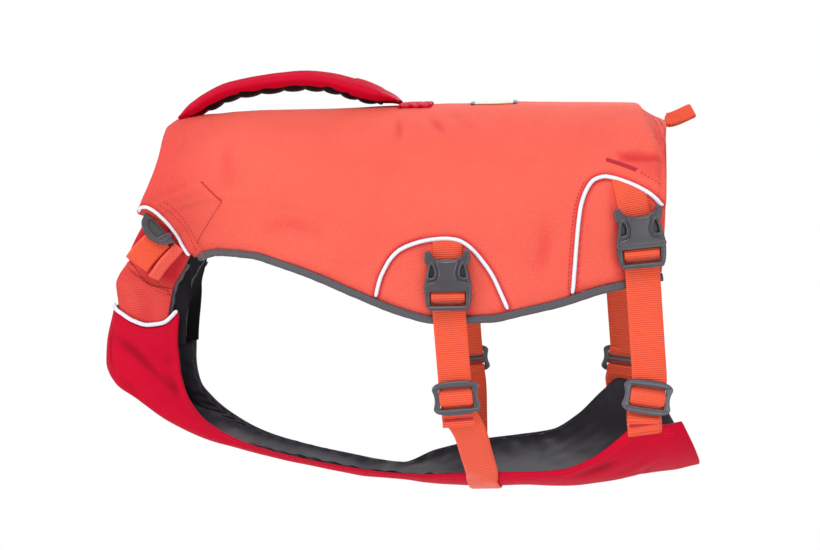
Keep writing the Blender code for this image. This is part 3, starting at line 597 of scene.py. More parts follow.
@dataclass(frozen=True)
class CordSleeve:
    """Knitted tape over a piping cord or a binding, with fine cross ribs."""

    name: str
    thread: Colour
    valley: Colour
    rib: float = 0.7 * MM
    height: float = 0.07 * MM
    rough: float = 0.5
    sheen: float = 0.3

    def make(self) -> Material:
        """Build the material.

        Returns:
            The material.
        """
        shade = Shade(self.name)
        along, across, _ = shade.cloth()
        ribs = ((along + across * 0.35) * (TURN / self.rib)).sine() * 0.5 + 0.5
        cloudy = shade.noise(60.0, 3.0)
        fine = shade.noise(1500.0, 1.0)
        tone = (ribs * 0.4 + 0.5 + cloudy * 0.14 + fine * 0.12).held()
        colour = shade.mix(tone, self.valley, self.thread)
        normal = shade.bump(ribs + fine * 0.4, self.height)
        rough = (self.rough + cloudy * 0.05).held()
        return shade.feed(Base_Color=colour, Roughness=rough, Normal=normal, Sheen_Weight=self.sheen,
                          Sheen_Roughness=0.4)


@dataclass(frozen=True)
class Thread:
    """Twisted sewing thread."""

    name: str
    colour: Colour
    dark: Colour

    def make(self) -> Material:
        """Build the material.

        Returns:
            The material.
        """
        shade = Shade(self.name)
        twist = shade.noise(2200.0, 1.0)
        colour = shade.mix((twist * 0.4 + 0.6).held(), self.dark, self.colour)
        normal = shade.bump(twist * 0.5 + 0.5, 0.05 * MM)
        return shade.feed(Base_Color=colour, Roughness=(twist * 0.08 + 0.55).held(), Normal=normal)


@dataclass(frozen=True)
class BareLabel:
    """Woven label: pale satin in the middle, navy ends, and nothing written on it."""

    name: str = "label_satin"
    pale: Colour = (0.66, 0.64, 0.52)
    navy: Colour = (0.035, 0.045, 0.12)
    long: float = 37.0 * MM
    hem: float = 3.2 * MM
    shaded: Colour = (0.50, 0.46, 0.30)
    pitch: float = 0.5 * MM

    def make(self) -> Material:
        """Build the material.

        Returns:
            The material.
        """
        shade = Shade(self.name)
        along, across, _ = shade.cloth()
        near_end = ((along - self.long / 2).size() / (self.long / 2)).eased(
            1.0 - 2.0 * self.hem / self.long, 1.0 - 1.8 * self.hem / self.long)
        weave = (along * (TURN / self.pitch)).sine() * (across * (TURN / self.pitch)).sine()
        cloudy = shade.noise(90.0, 2.0)
        pale = shade.mix((cloudy * 0.4 + 0.6 + weave * 0.1).held(), self.shaded, self.pale)
        colour = shade.mix(near_end, pale, self.navy)
        normal = shade.bump(weave * 0.5 + 0.5, 0.06 * MM)
        return shade.feed(Base_Color=colour, Roughness=(0.5 + cloudy * 0.06).held(), Normal=normal)


@dataclass
class Wardrobe:
    """Every finish of the jacket, each made once."""

    # The third colour of each woven cloth is painted shade for folds, seams and straps.
    orange: Material = field(default_factory=WovenCloth(
        "shell_orange_weave", (0.97, 0.160, 0.103), (0.56, 0.032, 0.028), (0.55, 0.010, 0.024)).make)
    red: Material = field(default_factory=WovenCloth(
        "shell_red_weave", (0.61, 0.0018, 0.028), (0.34, 0.001, 0.013), (0.22, 0.001, 0.010), cell=0.6 * MM,
        height=0.10 * MM, grain=0.40, rough=0.66, sheen=0.0, sheen_tint=(1.0, 0.3, 0.4), gloss=0.07).make)
    lining: Material = field(default_factory=SatinLining().make)
    web: Material = field(default_factory=Webbing(
        "webbing_orange", (0.95, 0.108, 0.034), (0.52, 0.028, 0.010)).make)
    neck_web: Material = field(default_factory=Webbing(
        "webbing_orange_narrow", (0.95, 0.108, 0.034), (0.52, 0.028, 0.010), half=9.7 * MM).make)
    buckle: Material = field(default_factory=MouldedPlastic(
        "plastic_dark", (0.040, 0.037, 0.044), (0.118, 0.112, 0.126)).make)
    slider: Material = field(default_factory=MouldedPlastic(
        "plastic_slider", (0.050, 0.052, 0.066), (0.135, 0.140, 0.165)).make)
    piping: Material = field(default_factory=CordSleeve(
        "piping_white", (0.80, 0.84, 0.90), (0.55, 0.60, 0.70)).make)
    binding: Material = field(default_factory=CordSleeve(
        "binding_charcoal", (0.075, 0.068, 0.082), (0.030, 0.027, 0.036), rib=0.9 * MM).make)
    # Thread darker than the cloth: partly its own tone, partly painted shade of the dimples it pulls in.
    orange_thread: Material = field(default_factory=Thread(
        "thread_orange", (0.56, 0.018, 0.020), (0.30, 0.005, 0.010)).make)
    red_thread: Material = field(default_factory=Thread(
        "thread_red", (0.40, 0.003, 0.020), (0.20, 0.001, 0.010)).make)
    label: Material = field(default_factory=BareLabel().make)
    # Near-black copy of the grey lining: painted shadow inside the neck and under the handle.
    shadowed_lining: Material = field(default_factory=SatinLining(
        "lining_painted_shadow", (0.010, 0.008, 0.011), (0.004, 0.003, 0.004), gloss=0.12, sheen=0.0).make)
    tack_thread: Material = field(default_factory=Thread(
        "thread_tack", (0.58, 0.004, 0.045), (0.34, 0.002, 0.022)).make)


# ---------------------------------------------------------------- meshes
@dataclass
class Fabric:
    """Points, faces and cloth coordinates of a piece that is still being put together."""

    points: list[Array] = field(default_factory=list)
    faces: list[tuple[int, ...]] = field(default_factory=list)
    cloth: list[Array] = field(default_factory=list)
    slots: list[int] = field(default_factory=list)

    def add(self, points: Array, cloth: Array) -> int:
        """Add points with their cloth coordinates.

        Args:
            points: The points.
            cloth: Their cloth coordinates.

        Returns:
            Index of the first point.
        """
        start = sum(len(block) for block in self.points)
        self.points.append(points.reshape(-1, 3))
        self.cloth.append(cloth.reshape(-1, 3))
        return start

    def merge(self, other: "Fabric") -> None:
        """Take in another fabric's points and faces.

        Args:
            other: The fabric that is taken in.
        """
        start = self.add(np.concatenate(other.points), np.concatenate(other.cloth))
        for corners, slot in zip(other.faces, other.slots):
            self.face([start + k for k in corners], slot)

    def face(self, corners: Sequence[int], slot: int = 0) -> None:
        """Add a face in a material slot."""
        self.faces.append(tuple(int(k) for k in corners))
        self.slots.append(slot)

    def grid(self, start: int, rows_: int, columns: int, slot: int = 0, flip: bool = False) -> None:
        """Faces over a block of points in rows.

        Args:
            start: Index of the first point.
            rows_: Number of rows.
            columns: Number of columns.
            slot: Material of the faces.
            flip: Whether they face the other way.
        """
        for i in range(rows_ - 1):
            for j in range(columns - 1):
                a = start + i * columns + j
                quad = (a, a + columns, a + columns + 1, a + 1)
                self.face(quad[::-1] if flip else quad, slot)

    def piece(self, name: str, materials: Sequence[Material], node: Iterable[str] = (),
              slot: str | None = None) -> Piece:
        """Finish the piece.

        Args:
            name: Name of the piece.
            materials: Its materials in slot order.
            node: The solids that it stands for.
            slot: The record's material slot.

        Returns:
            The piece, riding on the jacket.
        """
        points = np.concatenate(self.points)
        mesh = bpy.data.meshes.new(name)
        mesh.from_pydata(points.tolist(), [], self.faces)
        place = mesh.attributes.new("cloth", "FLOAT_VECTOR", "POINT")
        place.data.foreach_set("vector", np.concatenate(self.cloth).astype(np.float32).ravel())
        for material in materials:
            mesh.materials.append(material)
        mesh.polygons.foreach_set("material_index", self.slots)
        if volume(points, self.faces) < 0.0:
            mesh.flip_normals()
        mesh.shade_smooth()
        return worn(bpy.data.objects.new(name, mesh), node, slot)


def volume(points: Array, faces: Sequence[Sequence[int]]) -> float:
    """Volume inside the faces, times six.

    Args:
        points: Corners.
        faces: Indices of each face.

    Returns:
        The volume, negative if the faces look inward.
    """
    total = 0.0
    for count in {len(face) for face in faces}:
        block = points[np.array([face for face in faces if len(face) == count])]
        for k in range(1, count - 1):
            total += float((block[:, 0] * np.cross(block[:, k], block[:, k + 1])).sum())
    return total


def worn(piece: Piece, nodes: Iterable[str] = (), slot: str | None = None) -> Piece:
    """Put a piece in the scene, on the jacket's body.

    Args:
        piece: The piece.
        nodes: The solids that it stands for.
        slot: Its slot; not used.

    Returns:
        The same piece.
    """
    bpy.context.scene.collection.objects.link(piece)
    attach(piece, "root")
    nodes = tuple(nodes)
    if nodes:
        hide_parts(*nodes)
    LOG.info("piece: %s", piece.name)
    return piece


def sheet_of(outer: Array, normals: Array, wall: Array | float, cloth: Array, rim: float = 0.45) -> Fabric:
    """Closed cloth wall: an outer grid, an inner grid and a rounded rim.

    Args:
        outer: Points of the outer face, rows by columns.
        normals: Outward directions at those points.
        wall: Thickness, one value or one for each point.
        cloth: Cloth coordinates of the outer points.
        rim: Bulge of the rim as a share of the wall.

    Returns:
        The fabric, with its inner face in slot 1.
    """
    rows_, columns = outer.shape[:2]
    depth = np.broadcast_to(np.asarray(wall, float), outer.shape[:2])[..., None]
    inner = outer - normals * depth
    fabric = Fabric()
    first = fabric.add(outer, cloth)
    second = fabric.add(inner, cloth)
    fabric.grid(first, rows_, columns)
    fabric.grid(second, rows_, columns, 1, True)
    ring = [(i, 0) for i in range(rows_)] + [(rows_ - 1, j) for j in range(1, columns)]
    ring += [(i, columns - 1) for i in range(rows_ - 2, -1, -1)] + [(0, j) for j in range(columns - 2, 0, -1)]
    at = np.array(ring)
    edge, under = outer[at[:, 0], at[:, 1]], inner[at[:, 0], at[:, 1]]
    ahead = np.roll(edge, -1, 0) - np.roll(edge, 1, 0)
    out = unit(np.cross(unit(ahead), normals[at[:, 0], at[:, 1]]))
    inside = np.array([outer[min(max(i, 1), rows_ - 2), min(max(j, 1), columns - 2)] for i, j in ring])
    sign = np.sign(((edge - inside) * out).sum(1, keepdims=True))
    out = out * np.where(sign == 0, 1.0, sign)
    thick = np.linalg.norm(edge - under, axis=1, keepdims=True)
    middle = (edge + under) / 2 + out * thick * rim
    third = fabric.add(middle, cloth[at[:, 0], at[:, 1]])
    count = len(ring)
    index = at[:, 0] * columns + at[:, 1]
    for k in range(count):
        m = (k + 1) % count
        fabric.face((first + index[m], first + index[k], third + k, third + m))
        fabric.face((third + m, third + k, second + index[k], second + index[m]), 1)
    return fabric


def swept(loops: Array, cloth: Array) -> Fabric:
    """Closed body through loops of points, rows by columns, with flat ends.

    Args:
        loops: Points of the loops.
        cloth: Cloth coordinates of the points.

    Returns:
        The body.
    """
    rows_, columns = loops.shape[:2]
    fabric = Fabric()
    start = fabric.add(loops, cloth)
    for i in range(rows_ - 1):
        for j in range(columns):
            m = (j + 1) % columns
            a, b = start + i * columns, start + (i + 1) * columns
            fabric.face((a + j, b + j, b + m, a + m))
    fabric.face(range(start + columns - 1, start - 1, -1))
    last = start + (rows_ - 1) * columns
    fabric.face(range(last, last + columns))
    return fabric


def tube(path: Array, radius: Array | float, sides: int = 12) -> Fabric:
    """Round cord along a path, its ends eased in.

    Args:
        path: Its middle line.
        radius: Radius of the cord.
        sides: Number of its faces round.

    Returns:
        The cord.
    """
    path = np.asarray(path, float)
    along = directions(path)
    up = np.zeros_like(path)
    guess = unit(np.cross(along[0], (0.31, 0.2, 0.93)))
    for k, heading in enumerate(along):
        guess = unit(guess - heading * float(guess @ heading))
        up[k] = guess
    across = np.cross(along, up)
    angle = round_angles(sides)
    girth = np.broadcast_to(np.asarray(radius, float), (len(path),)).copy()
    girth[[0, -1]] *= 0.6
    spoke = up[:, None] * np.cos(angle)[None, :, None] + across[:, None] * np.sin(angle)[None, :, None]
    loops = path[:, None] + spoke * girth[:, None, None]
    return swept(loops, laid_out(loops, lengths(path)[:, None], angle * float(girth.mean())))


def band(path: Array, across: Array, out: Array, side: Side, wide: float, thick: float,
         lanes: int = 10) -> Fabric:
    """Flat band with soft selvages.

    Args:
        path: Middle of the band, on the left side.
        across: Unit directions of its width.
        out: Unit directions of its face.
        side: The side that it is mirrored to.
        wide: Width.
        thick: Thickness.
        lanes: Faces across each side.

    Returns:
        The band.
    """
    path, across, out = (mirrored(part, side) for part in (path, across, out))
    share = np.linspace(-1.0, 1.0, lanes + 1)
    ease = np.minimum(1.0, (1.0 - np.abs(share)) * lanes * 0.9) ** 0.5
    half = thick / 2 * (0.45 + 0.55 * ease)
    top = np.stack([share * wide / 2, half], 1)
    profile = np.concatenate([top, top[::-1] * (1.0, -1.0)])
    loops = path[:, None] + across[:, None] * profile[None, :, :1] + out[:, None] * profile[None, :, 1:]
    return swept(loops, laid_out(loops, lengths(path)[:, None], profile[:, 0]))


class Skin:
    """Surface of a dressed form, on which smaller pieces are laid."""

    def __init__(self, points: Array, normals: Array) -> None:
        """Index a grid of points and their outward directions.

        Args:
            points: Grid of points.
            normals: Outward direction at each.
        """
        rows_, columns = points.shape[:2]
        i, j = np.meshgrid(np.arange(rows_ - 1), np.arange(columns - 1), indexing="ij")
        a = (i * columns + j).ravel()
        quads = np.stack([a, a + columns, a + columns + 1, a + 1], 1)
        self.normals = unit(normals.reshape(-1, 3)[quads].mean(1))
        self.tree = BVHTree.FromPolygons(points.reshape(-1, 3).tolist(), quads.tolist())

    def seat(self, look: Look, a: float, b: float) -> tuple[Array, Array]:
        """Place on the surface.

        Args:
            look: Direction from which the place is given.
            a: Station x in metres.
            b: Height z, or y from above, in metres.

        Returns:
            The point and the outward direction there.
        """
        ways = {
            Look.LEFT: ((a, -0.4, b), (0, 1, 0)),
            Look.RIGHT: ((a, 0.4, b), (0, -1, 0)),
            Look.TOP: ((a, b, 0.3), (0, 0, -1)),
        }
        origin, heading = ways[look]
        point, _, index, _ = self.tree.ray_cast(Vector(origin), Vector(heading))
        if point is None:
            guess = Vector((a, 0.06 * (-1 if look is Look.LEFT else 1), b))
            point, _, index, _ = self.tree.find_nearest(guess)
        return np.array(point), self.normals[index]

    def nearest(self, place: Array) -> tuple[Array, Array]:
        """Nearest point of the surface and the outward direction there."""
        point, _, index, _ = self.tree.find_nearest(Vector(place))
        return np.array(point), self.normals[index]

    def course(self, look: Look, places: Sequence[Place], step: float = 1.0 * MM) -> tuple[Array, Array]:
        """Smooth run over the surface through places in millimetres, with even steps.

        Args:
            look: Direction from which the places are given.
            places: Places that the run goes through.
            step: Distance between two points.

        Returns:
            Points of the run and the outward directions there.
        """
        flat = catmull(np.array(places, float) * MM, 8)
        count = max(3, int(lengths(flat)[-1] / step) + 1)
        return parted(self.seat(look, float(a), float(b)) for a, b in resample(flat, count))


@dataclass(frozen=True)
class Crease:
    """Soft trough or ridge of a cloth form, in millimetres.

    course holds its places from one look; height is below zero for a trough; wide is the half
    width; both ends fade out unless open_ends is set; nothing rises beyond spread half widths.
    """

    course: tuple[Place, ...]
    height: float
    wide: float
    look: Look = Look.LEFT
    open_ends: bool = False
    spread: float = 2.6

    def other_side(self, shift: float, share: float) -> "Crease":
        """A like crease on the right side, moved along and with another height.

        Args:
            shift: Distance that it is moved, in millimetres.
            share: Its height as a share of this one.

        Returns:
            The new crease.
        """
        course = tuple((a + shift, b + shift * 0.4) for a, b in self.course)
        return Crease(course, self.height * share, self.wide * (1.0 + 0.2 * (1.0 - share)), Look.RIGHT,
                      self.open_ends)

    def raised(self, points: Array, skin: Skin) -> Array:
        """Height that the crease adds at each point, in metres.

        Args:
            points: Places, in metres.
            skin: Surface that the crease is drawn on.

        Returns:
            Height at each place.
        """
        path, _ = skin.course(self.look, self.course, 4.0 * MM)
        total = np.zeros(len(points))
        reach = self.wide * MM * self.spread
        low, high = path.min(0) - reach, path.max(0) + reach
        near = np.nonzero(((points > low) & (points < high)).all(1))[0]
        if len(near) == 0:
            return total
        run = lengths(path)
        best = np.full(len(near), 1e9)
        along = np.zeros(len(near))
        for k in range(len(path) - 1):
            leg = path[k + 1] - path[k]
            size = float(leg @ leg)
            f = np.clip((points[near] - path[k]) @ leg / max(size, 1e-12), 0.0, 1.0)
            gap = np.linalg.norm(points[near] - path[k] - f[:, None] * leg, axis=1)
            closer = gap < best
            best = np.where(closer, gap, best)
            along = np.where(closer, run[k] + f * math.sqrt(size), along)
        share = along / max(run[-1], 1e-9)
        fade = 1.0 if self.open_ends else np.sin(math.pi * np.clip(share, 0.0, 1.0)) ** 0.7
        total[near] = self.height * MM * fade * np.exp(-((best / (self.wide * MM)) ** 2))
        return total


def creases(*rows: Sequence[float]) -> tuple[Crease, ...]:
    """Creases from rows of height, half width and then x and z of each place from the left."""
    return tuple(Crease(tuple(zip(row[2::2], row[3::2])), row[0], row[1]) for row in rows)


def inside(points: Array, outline: Sequence[Place], soft: float) -> Array:
    """Soft mask of places inside an outline, both in metres, over a soft edge.

    Args:
        points: Places, in metres.
        outline: Corners of the area.
        soft: Width of its edge.

    Returns:
        Shares from 0 outside to 1 inside.
    """
    ring = np.array(outline, float)
    ahead = np.roll(ring, -1, 0)
    best = np.full(len(points), 1e9)
    crossings = np.zeros(len(points), int)
    for p, q in zip(ring, ahead):
        leg = q - p
        f = np.clip((points - p) @ leg / max(float(leg @ leg), 1e-12), 0.0, 1.0)
        best = np.minimum(best, np.linalg.norm(points - p - f[:, None] * leg, axis=1))
        straddles = (p[1] > points[:, 1]) != (q[1] > points[:, 1])
        with np.errstate(divide="ignore", invalid="ignore"):
            cut = (q[0] - p[0]) * (points[:, 1] - p[1]) / (q[1] - p[1]) + p[0]
        crossings += straddles & (points[:, 0] < cut)
    signed = np.where(crossings % 2 == 1, best, -best)
    return smooth(signed / soft * 0.5 + 0.5)


def normals_of(points: Array, like: Array) -> Array:
    """Directions square to a grid of points, facing as the given ones do.

    Args:
        points: Grid of points.
        like: Rough directions.

    Returns:
        A direction at each point.
    """
    down = np.gradient(points, axis=0)
    across = np.gradient(points, axis=1)
    square = unit(np.cross(down, across))
    sign = np.sign((square * like).sum(-1, keepdims=True))
    return square * np.where(sign == 0, 1.0, sign)


# ---------------------------------------------------------------- the jacket's bare forms
class Form:
    """Bare face of a cloth piece over u and v; outward is the sign of its outer side."""

    outward = 1.0

    def point(self, u: Array, v: Array) -> Array:
        """Place on the face."""
        raise NotImplementedError

    def facing(self, u: Array, v: Array) -> Array:
        """Outward direction of the face.

        Args:
            u: Shares down the form.
            v: Shares across it.

        Returns:
            A unit direction for each pair.
        """
        e = 0.004
        down = self.point(u + e, v) - self.point(u - e, v)
        across = self.point(u, v + e) - self.point(u, v - e)
        return unit(np.cross(down, across)) * self.outward


@dataclass(frozen=True)
class BackForm(Form):
    """Bare outer face of the foam back panel, in the left half and mirrored."""

    hem_high: float = 6.0 * MM
    foam: float = 10.0 * MM
    edge: float = 4.0 * MM
    taper: float = 14.0 * MM
    stations: dict[str, Track] = field(default_factory=lambda: tracks(
        "x spine hem wide tuck",
        (-226, -6.5, -128.4, 57, 22), (-205, 1.8, -126.4, 60, 25), (-192, 3, -123.9, 63, 30),
        (-183, 4, -119.6, 66, 37), (-174, 4.5, -116.6, 69, 45), (-158, 6, -114.4, 74, 56),
        (-128, 7, -115.6, 82, 74), (-102, 7.3, -121.8, 87, 83), (-77, 7.6, -129.6, 90, 88),
        (-38, 8.4, -145, 92.5, 92), (-8, 9.8, -156.3, 93, 93), (18, 10.8, -162.2, 93, 93),
        (59, 11, -160.9, 93, 92), (81, 11, -156, 92.5, 91), (110, 10.8, -149, 91.5, 89),
        (138, 10.5, -139.8, 91, 87), (170, 9.3, -132.2, 90.2, 86.2), (176, 7.4, -130.8, 90, 86),
        (181, 4, -129.8, 89.8, 85.8), (186, 1, -129, 89.5, 85.5), (194, -2.5, -127.8, 89, 85)))
    arch: dict[str, Track] = field(default_factory=lambda: tracks(
        "t side drop",
        (0.00, 0.000, 0.000), (0.10, 0.215, 0.034), (0.22, 0.450, 0.110), (0.36, 0.700, 0.235),
        (0.50, 0.880, 0.395), (0.64, 0.975, 0.570), (0.82, 1.000, 0.790), (1.00, 1.000, 1.000),
        plain=True))
    ends: dict[str, Track] = field(default_factory=lambda: tracks(
        "t front",
        (0.00, -218), (0.10, -217), (0.22, -215.2), (0.38, -213.2), (0.465, -214.8), (0.54, -218.3),
        (0.64, -227), (0.69, -232), (0.733, -218.2), (0.798, -208), (0.878, -200), (0.94, -195),
        (1.00, -190.5), plain=True))
    tails: dict[str, Track] = field(default_factory=lambda: tracks(
        "t rear",
        (0.00, 194.5), (0.10, 194), (0.22, 191), (0.40, 187.5), (0.60, 185), (0.80, 184), (1.00, 183),
        plain=True))

    def at(self, x: Array, t: Array) -> Array:
        """Left half at station x, t from the spine 0 to the hem 1.

        Args:
            x: Stations along the jacket.
            t: Shares of the half section.

        Returns:
            A place for each pair.
        """
        top = self.stations["spine"](x)
        wide = self.stations["wide"](x)
        tuck = self.stations["tuck"](x)
        hem = self.stations["hem"](x) + self.hem_high + GAP
        pull = smooth((t - 0.45) / 0.62)
        y = -(wide * self.arch["side"](t) + (tuck - wide) * pull)
        return np.stack(np.broadcast_arrays(x, y, top + (hem - top) * self.arch["drop"](t)), -1)

    def point(self, u: Array, v: Array) -> Array:
        """Place with u from neck to tail and v from the left hem -1 to the right hem 1.

        Args:
            u: Shares down the form.
            v: Shares across it.

        Returns:
            A place for each pair.
        """
        t = np.abs(v)
        front = self.ends["front"](t) * MM
        rear = self.tails["rear"](t) * MM
        point = self.at(front + (rear - front) * u, t)
        point[..., 1] *= np.where(v > 0, -1.0, 1.0)
        return point

    def wall(self, u: Array, v: Array) -> Array:
        """Foam thickness, thinning to the stitched edges."""
        near = np.minimum(np.minimum(u * 0.40, (1.0 - u) * 0.38), (1.0 - np.abs(v)) * 0.19)
        return self.edge + (self.foam - self.edge) * smooth(near / self.taper)


@dataclass(frozen=True)
class SlingForm(Form):
    """Bare outer face of the chest and belly sling."""

    outward = -1.0
    long: float = 597 * MM
    stations: dict[str, Track] = field(default_factory=lambda: tracks(
        "s cx cz ex ey ez bow",
        (0, -265, -158, -203.5, 26, -154, 12), (30, -274, -188, -207, 24.5, -190, 10),
        (50, -276, -207, -206.5, 21.7, -209, 10), (75, -267.5, -226, -202.5, 21.2, -229, 9),
        (102, -251.5, -236.5, -193, 24.8, -243.7, 8), (138, -224, -256.5, -177, 28, -258, 5),
        (190, -176.5, -278.7, -148.2, 26, -272.6, 3), (245, -125, -290, -107, 24, -284.2, 1),
        (299, -72.5, -299.7, -63.7, 22.2, -291.8, 1), (325, -46, -303.8, -42, 20.4, -295, 1),
        (351, -20.4, -304.8, -20, 19.3, -296.6, 1), (378, 5.4, -305, 5.4, 41.5, -291, 1),
        (416, 43.6, -305, 46, 57, -283.6, 2), (454, 81.4, -303, 80, 64.7, -280.2, 2),
        (491, 118.7, -301.5, 110, 71, -276.2, 2), (516, 143.4, -298.3, 133.2, 82.2, -263.9, 3),
        (543, 170, -293.5, 156, 90.5, -243.4, 3), (560, 187, -290.8, 171, 89, -231.2, 3),
        (577, 204, -287.5, 185, 88.5, -235, 3), (597, 224, -283, 200, 80, -234, 2)))
    mouth: dict[str, Track] = field(default_factory=lambda: tracks(
        "t dip",
        (0.00, 1), (0.17, 1), (0.25, 2.5), (0.33, 5), (0.44, 9), (0.58, 15.2), (0.72, 18.5),
        (0.86, 17.3), (1.00, 8), plain=True))
    steps: int = 20

    def point(self, u: Array, v: Array) -> Array:
        """Place with u from neck to tail and v from the left edge -1 to the right edge 1.

        Args:
            u: Shares down the form.
            v: Shares across it.

        Returns:
            A place for each pair.
        """
        u, v = np.broadcast_arrays(np.asarray(u, float), np.asarray(v, float))
        t = np.abs(v)
        s = u * self.long
        s = s + self.mouth["dip"](t) * MM * (1.0 - smooth(s / (60 * MM)))
        row = {name: track(s) for name, track in self.stations.items()}
        zero = np.zeros_like(s)
        keel = smooth((210 * MM - s) / (120 * MM))
        reach = 0.55 + 0.40 * keel
        hold = 0.35 + 0.42 * keel
        p0 = np.stack([row["cx"], zero, row["cz"]], -1)
        p3 = np.stack([row["ex"], row["ey"], row["ez"]], -1)
        p1 = np.stack([row["cx"], (row["ey"] + row["bow"]) * reach, row["cz"]], -1)
        p2 = np.stack([row["ex"] + (row["cx"] - row["ex"]) * hold, row["ey"] + row["bow"] * 1.3,
                       row["ez"] + (row["cz"] - row["ez"]) * hold], -1)

        def cubic(f: Array) -> Array:
            """Point of each section's curve.

            Args:
                f: Shares of the way from the keel to the edge.

            Returns:
                A place for each.
            """
            f = f[..., None]
            a = 1.0 - f
            return p0 * a ** 3 + p1 * 3 * a * a * f + p2 * 3 * a * f * f + p3 * f ** 3

        path = np.stack([cubic(np.full(s.shape, k / self.steps)) for k in range(self.steps + 1)])
        spans = np.linalg.norm(np.diff(path, axis=0), axis=-1)
        ends = np.cumsum(spans, axis=0)
        goal = t * ends[-1]
        i = np.clip((ends < goal).sum(0), 0, self.steps - 1)
        span = np.take_along_axis(spans, i[None], 0)[0]
        start = np.take_along_axis(ends, i[None], 0)[0] - span
        point = cubic((i + np.clip((goal - start) / span, 0.0, 1.0)) / self.steps)
        past = np.maximum(t - 1.0, 0.0)[..., None] * ends[-1][..., None]
        point = point + unit(p3 - path[-2]) * past
        point[..., 1] *= np.where(v < 0, -1.0, 1.0)
        return point


@dataclass(frozen=True)
class TongueForm(Form):
    """Bare outer face of the left neck tongue, from under the panel into the chest pocket."""

    back: BackForm
    sling: SlingForm
    depth: float = 26.0 * MM
    drop: float = (2.2 + 1.2 + 1.5) * MM
    columns: tuple[float, ...] = (0.31, 0.43, 0.56, 0.69, 0.81, 0.90)
    between: tuple[tuple[float, ...], ...] = (
        (-235.5, -45.5, -107.6, -199.0, -25.0, -125, 3),
        (-240, -42.5, -120, -204.5, -24.5, -134, 3.5),
        (-252.5, -37.0, -137, -210.5, -24.5, -145, 3),
    )
    net: Array = field(init=False)

    def __post_init__(self) -> None:
        """Work out the rows of points down the tongue."""
        count = len(self.columns)
        share = np.arange(count) / (count - 1)
        lines = []
        for u in (0.014, -0.003):
            v = -(0.722 + 0.248 * share)
            here = np.full(count, u)
            lift = self.back.wall(np.maximum(here, 0.0), v) + 4 * GAP
            lines.append(self.back.point(here, v) - self.back.facing(here, v) * lift[:, None])
        for fx, fy, fz, rx, ry, rz, bulge in self.between:
            x = fx + (rx - fx) * share
            y = fy + (ry - fy) * share ** 1.4 - bulge * np.sin(math.pi * share)
            lines.append(np.stack([x, y, fz + (rz - fz) * share], 1) * MM)
        for s in (-3.0 * MM, 11.0 * MM, self.depth - 1.0 * MM):
            u = np.full(count, s / self.sling.long)
            v = -np.array(self.columns)
            lines.append(self.sling.point(u, v) - self.sling.facing(u, v) * self.drop)
        object.__setattr__(self, "net", np.array(lines))

    def point(self, u: Array, v: Array) -> Array:
        """Place with u down the tongue and v from its front edge 0 to its rear edge 1.

        Args:
            u: Shares down the form.
            v: Shares across it.

        Returns:
            A place for each pair.
        """
        u, v = np.broadcast_arrays(np.asarray(u, float), np.asarray(v, float))

        def weights(f: Array, count: int) -> tuple[Array, Array]:
            """Indices and weights of the four neighbours along one way.

            Args:
                f: Shares along the way.
                count: Number of the cells.

            Returns:
                Four indices and four weights for each share.
            """
            i = np.clip(np.floor(f).astype(int), 0, count - 2)
            g = f - i
            index = np.stack([np.maximum(i - 1, 0), i, i + 1, np.minimum(i + 2, count - 1)])
            weight = 0.5 * np.stack([-g + 2 * g ** 2 - g ** 3, 2 - 5 * g ** 2 + 3 * g ** 3,
                                     g + 4 * g ** 2 - 3 * g ** 3, -g ** 2 + g ** 3])
            return index, weight

        rows_, columns = self.net.shape[:2]
        iu, wu = weights(u * (rows_ - 1), rows_)
        iv, wv = weights(np.clip(v, -0.2, 1.2) * (columns - 1), columns)
        total = np.zeros(u.shape + (3,))
        for a in range(4):
            for b in range(4):
                total = total + self.net[iu[a], iv[b]] * (wu[a] * wv[b])[..., None]
        return total


# ---------------------------------------------------------------- back panel
NECK_PIPING = ((-229.6, -79), (-227.5, -75.6), (-221.5, -75.1), (-216.6, -77.5), (-211.6, -82.1),
               (-206.5, -88.8), (-202, -97.8), (-197.5, -106.9), (-193, -115.6))
FRONT_ARCH = ((-26.5, -142.4), (-21.5, -125), (-10.5, -109), (8, -101), (30, -99), (43.5, -105),
              (58, -122), (67, -140), (71.5, -150.4))
REAR_ARCH = ((119.3, -139), (121, -105), (124, -75), (130.5, -59), (138, -54), (146, -54),
             (160.5, -59), (173, -66), (182.5, -74.5))
SEAMS = (FRONT_ARCH, REAR_ARCH, NECK_PIPING)
TAIL_SEAM = ((166.4, -50.3), (174.1, -54.8), (181.8, -59.9))
FRONT_AREA = (*FRONT_ARCH, (69, -165), (-25, -165))
REAR_AREA = (*REAR_ARCH, (195, -80), (195, -150), (117, -150))
PATCH_TOP = ((-217.8, -73.4), (-205.2, -67.0), (-192.8, -62.3), (-181.1, -58.5), (-169.4, -56.3))
PATCH_REAR = ((-169.4, -55.5), (-164.1, -60.3), (-158.1, -65.8), (-151.9, -70.6))
PATCH_LOW = ((-152.0, -71.3), (-161.1, -81.5), (-170.9, -91.9), (-182.9, -104.4))


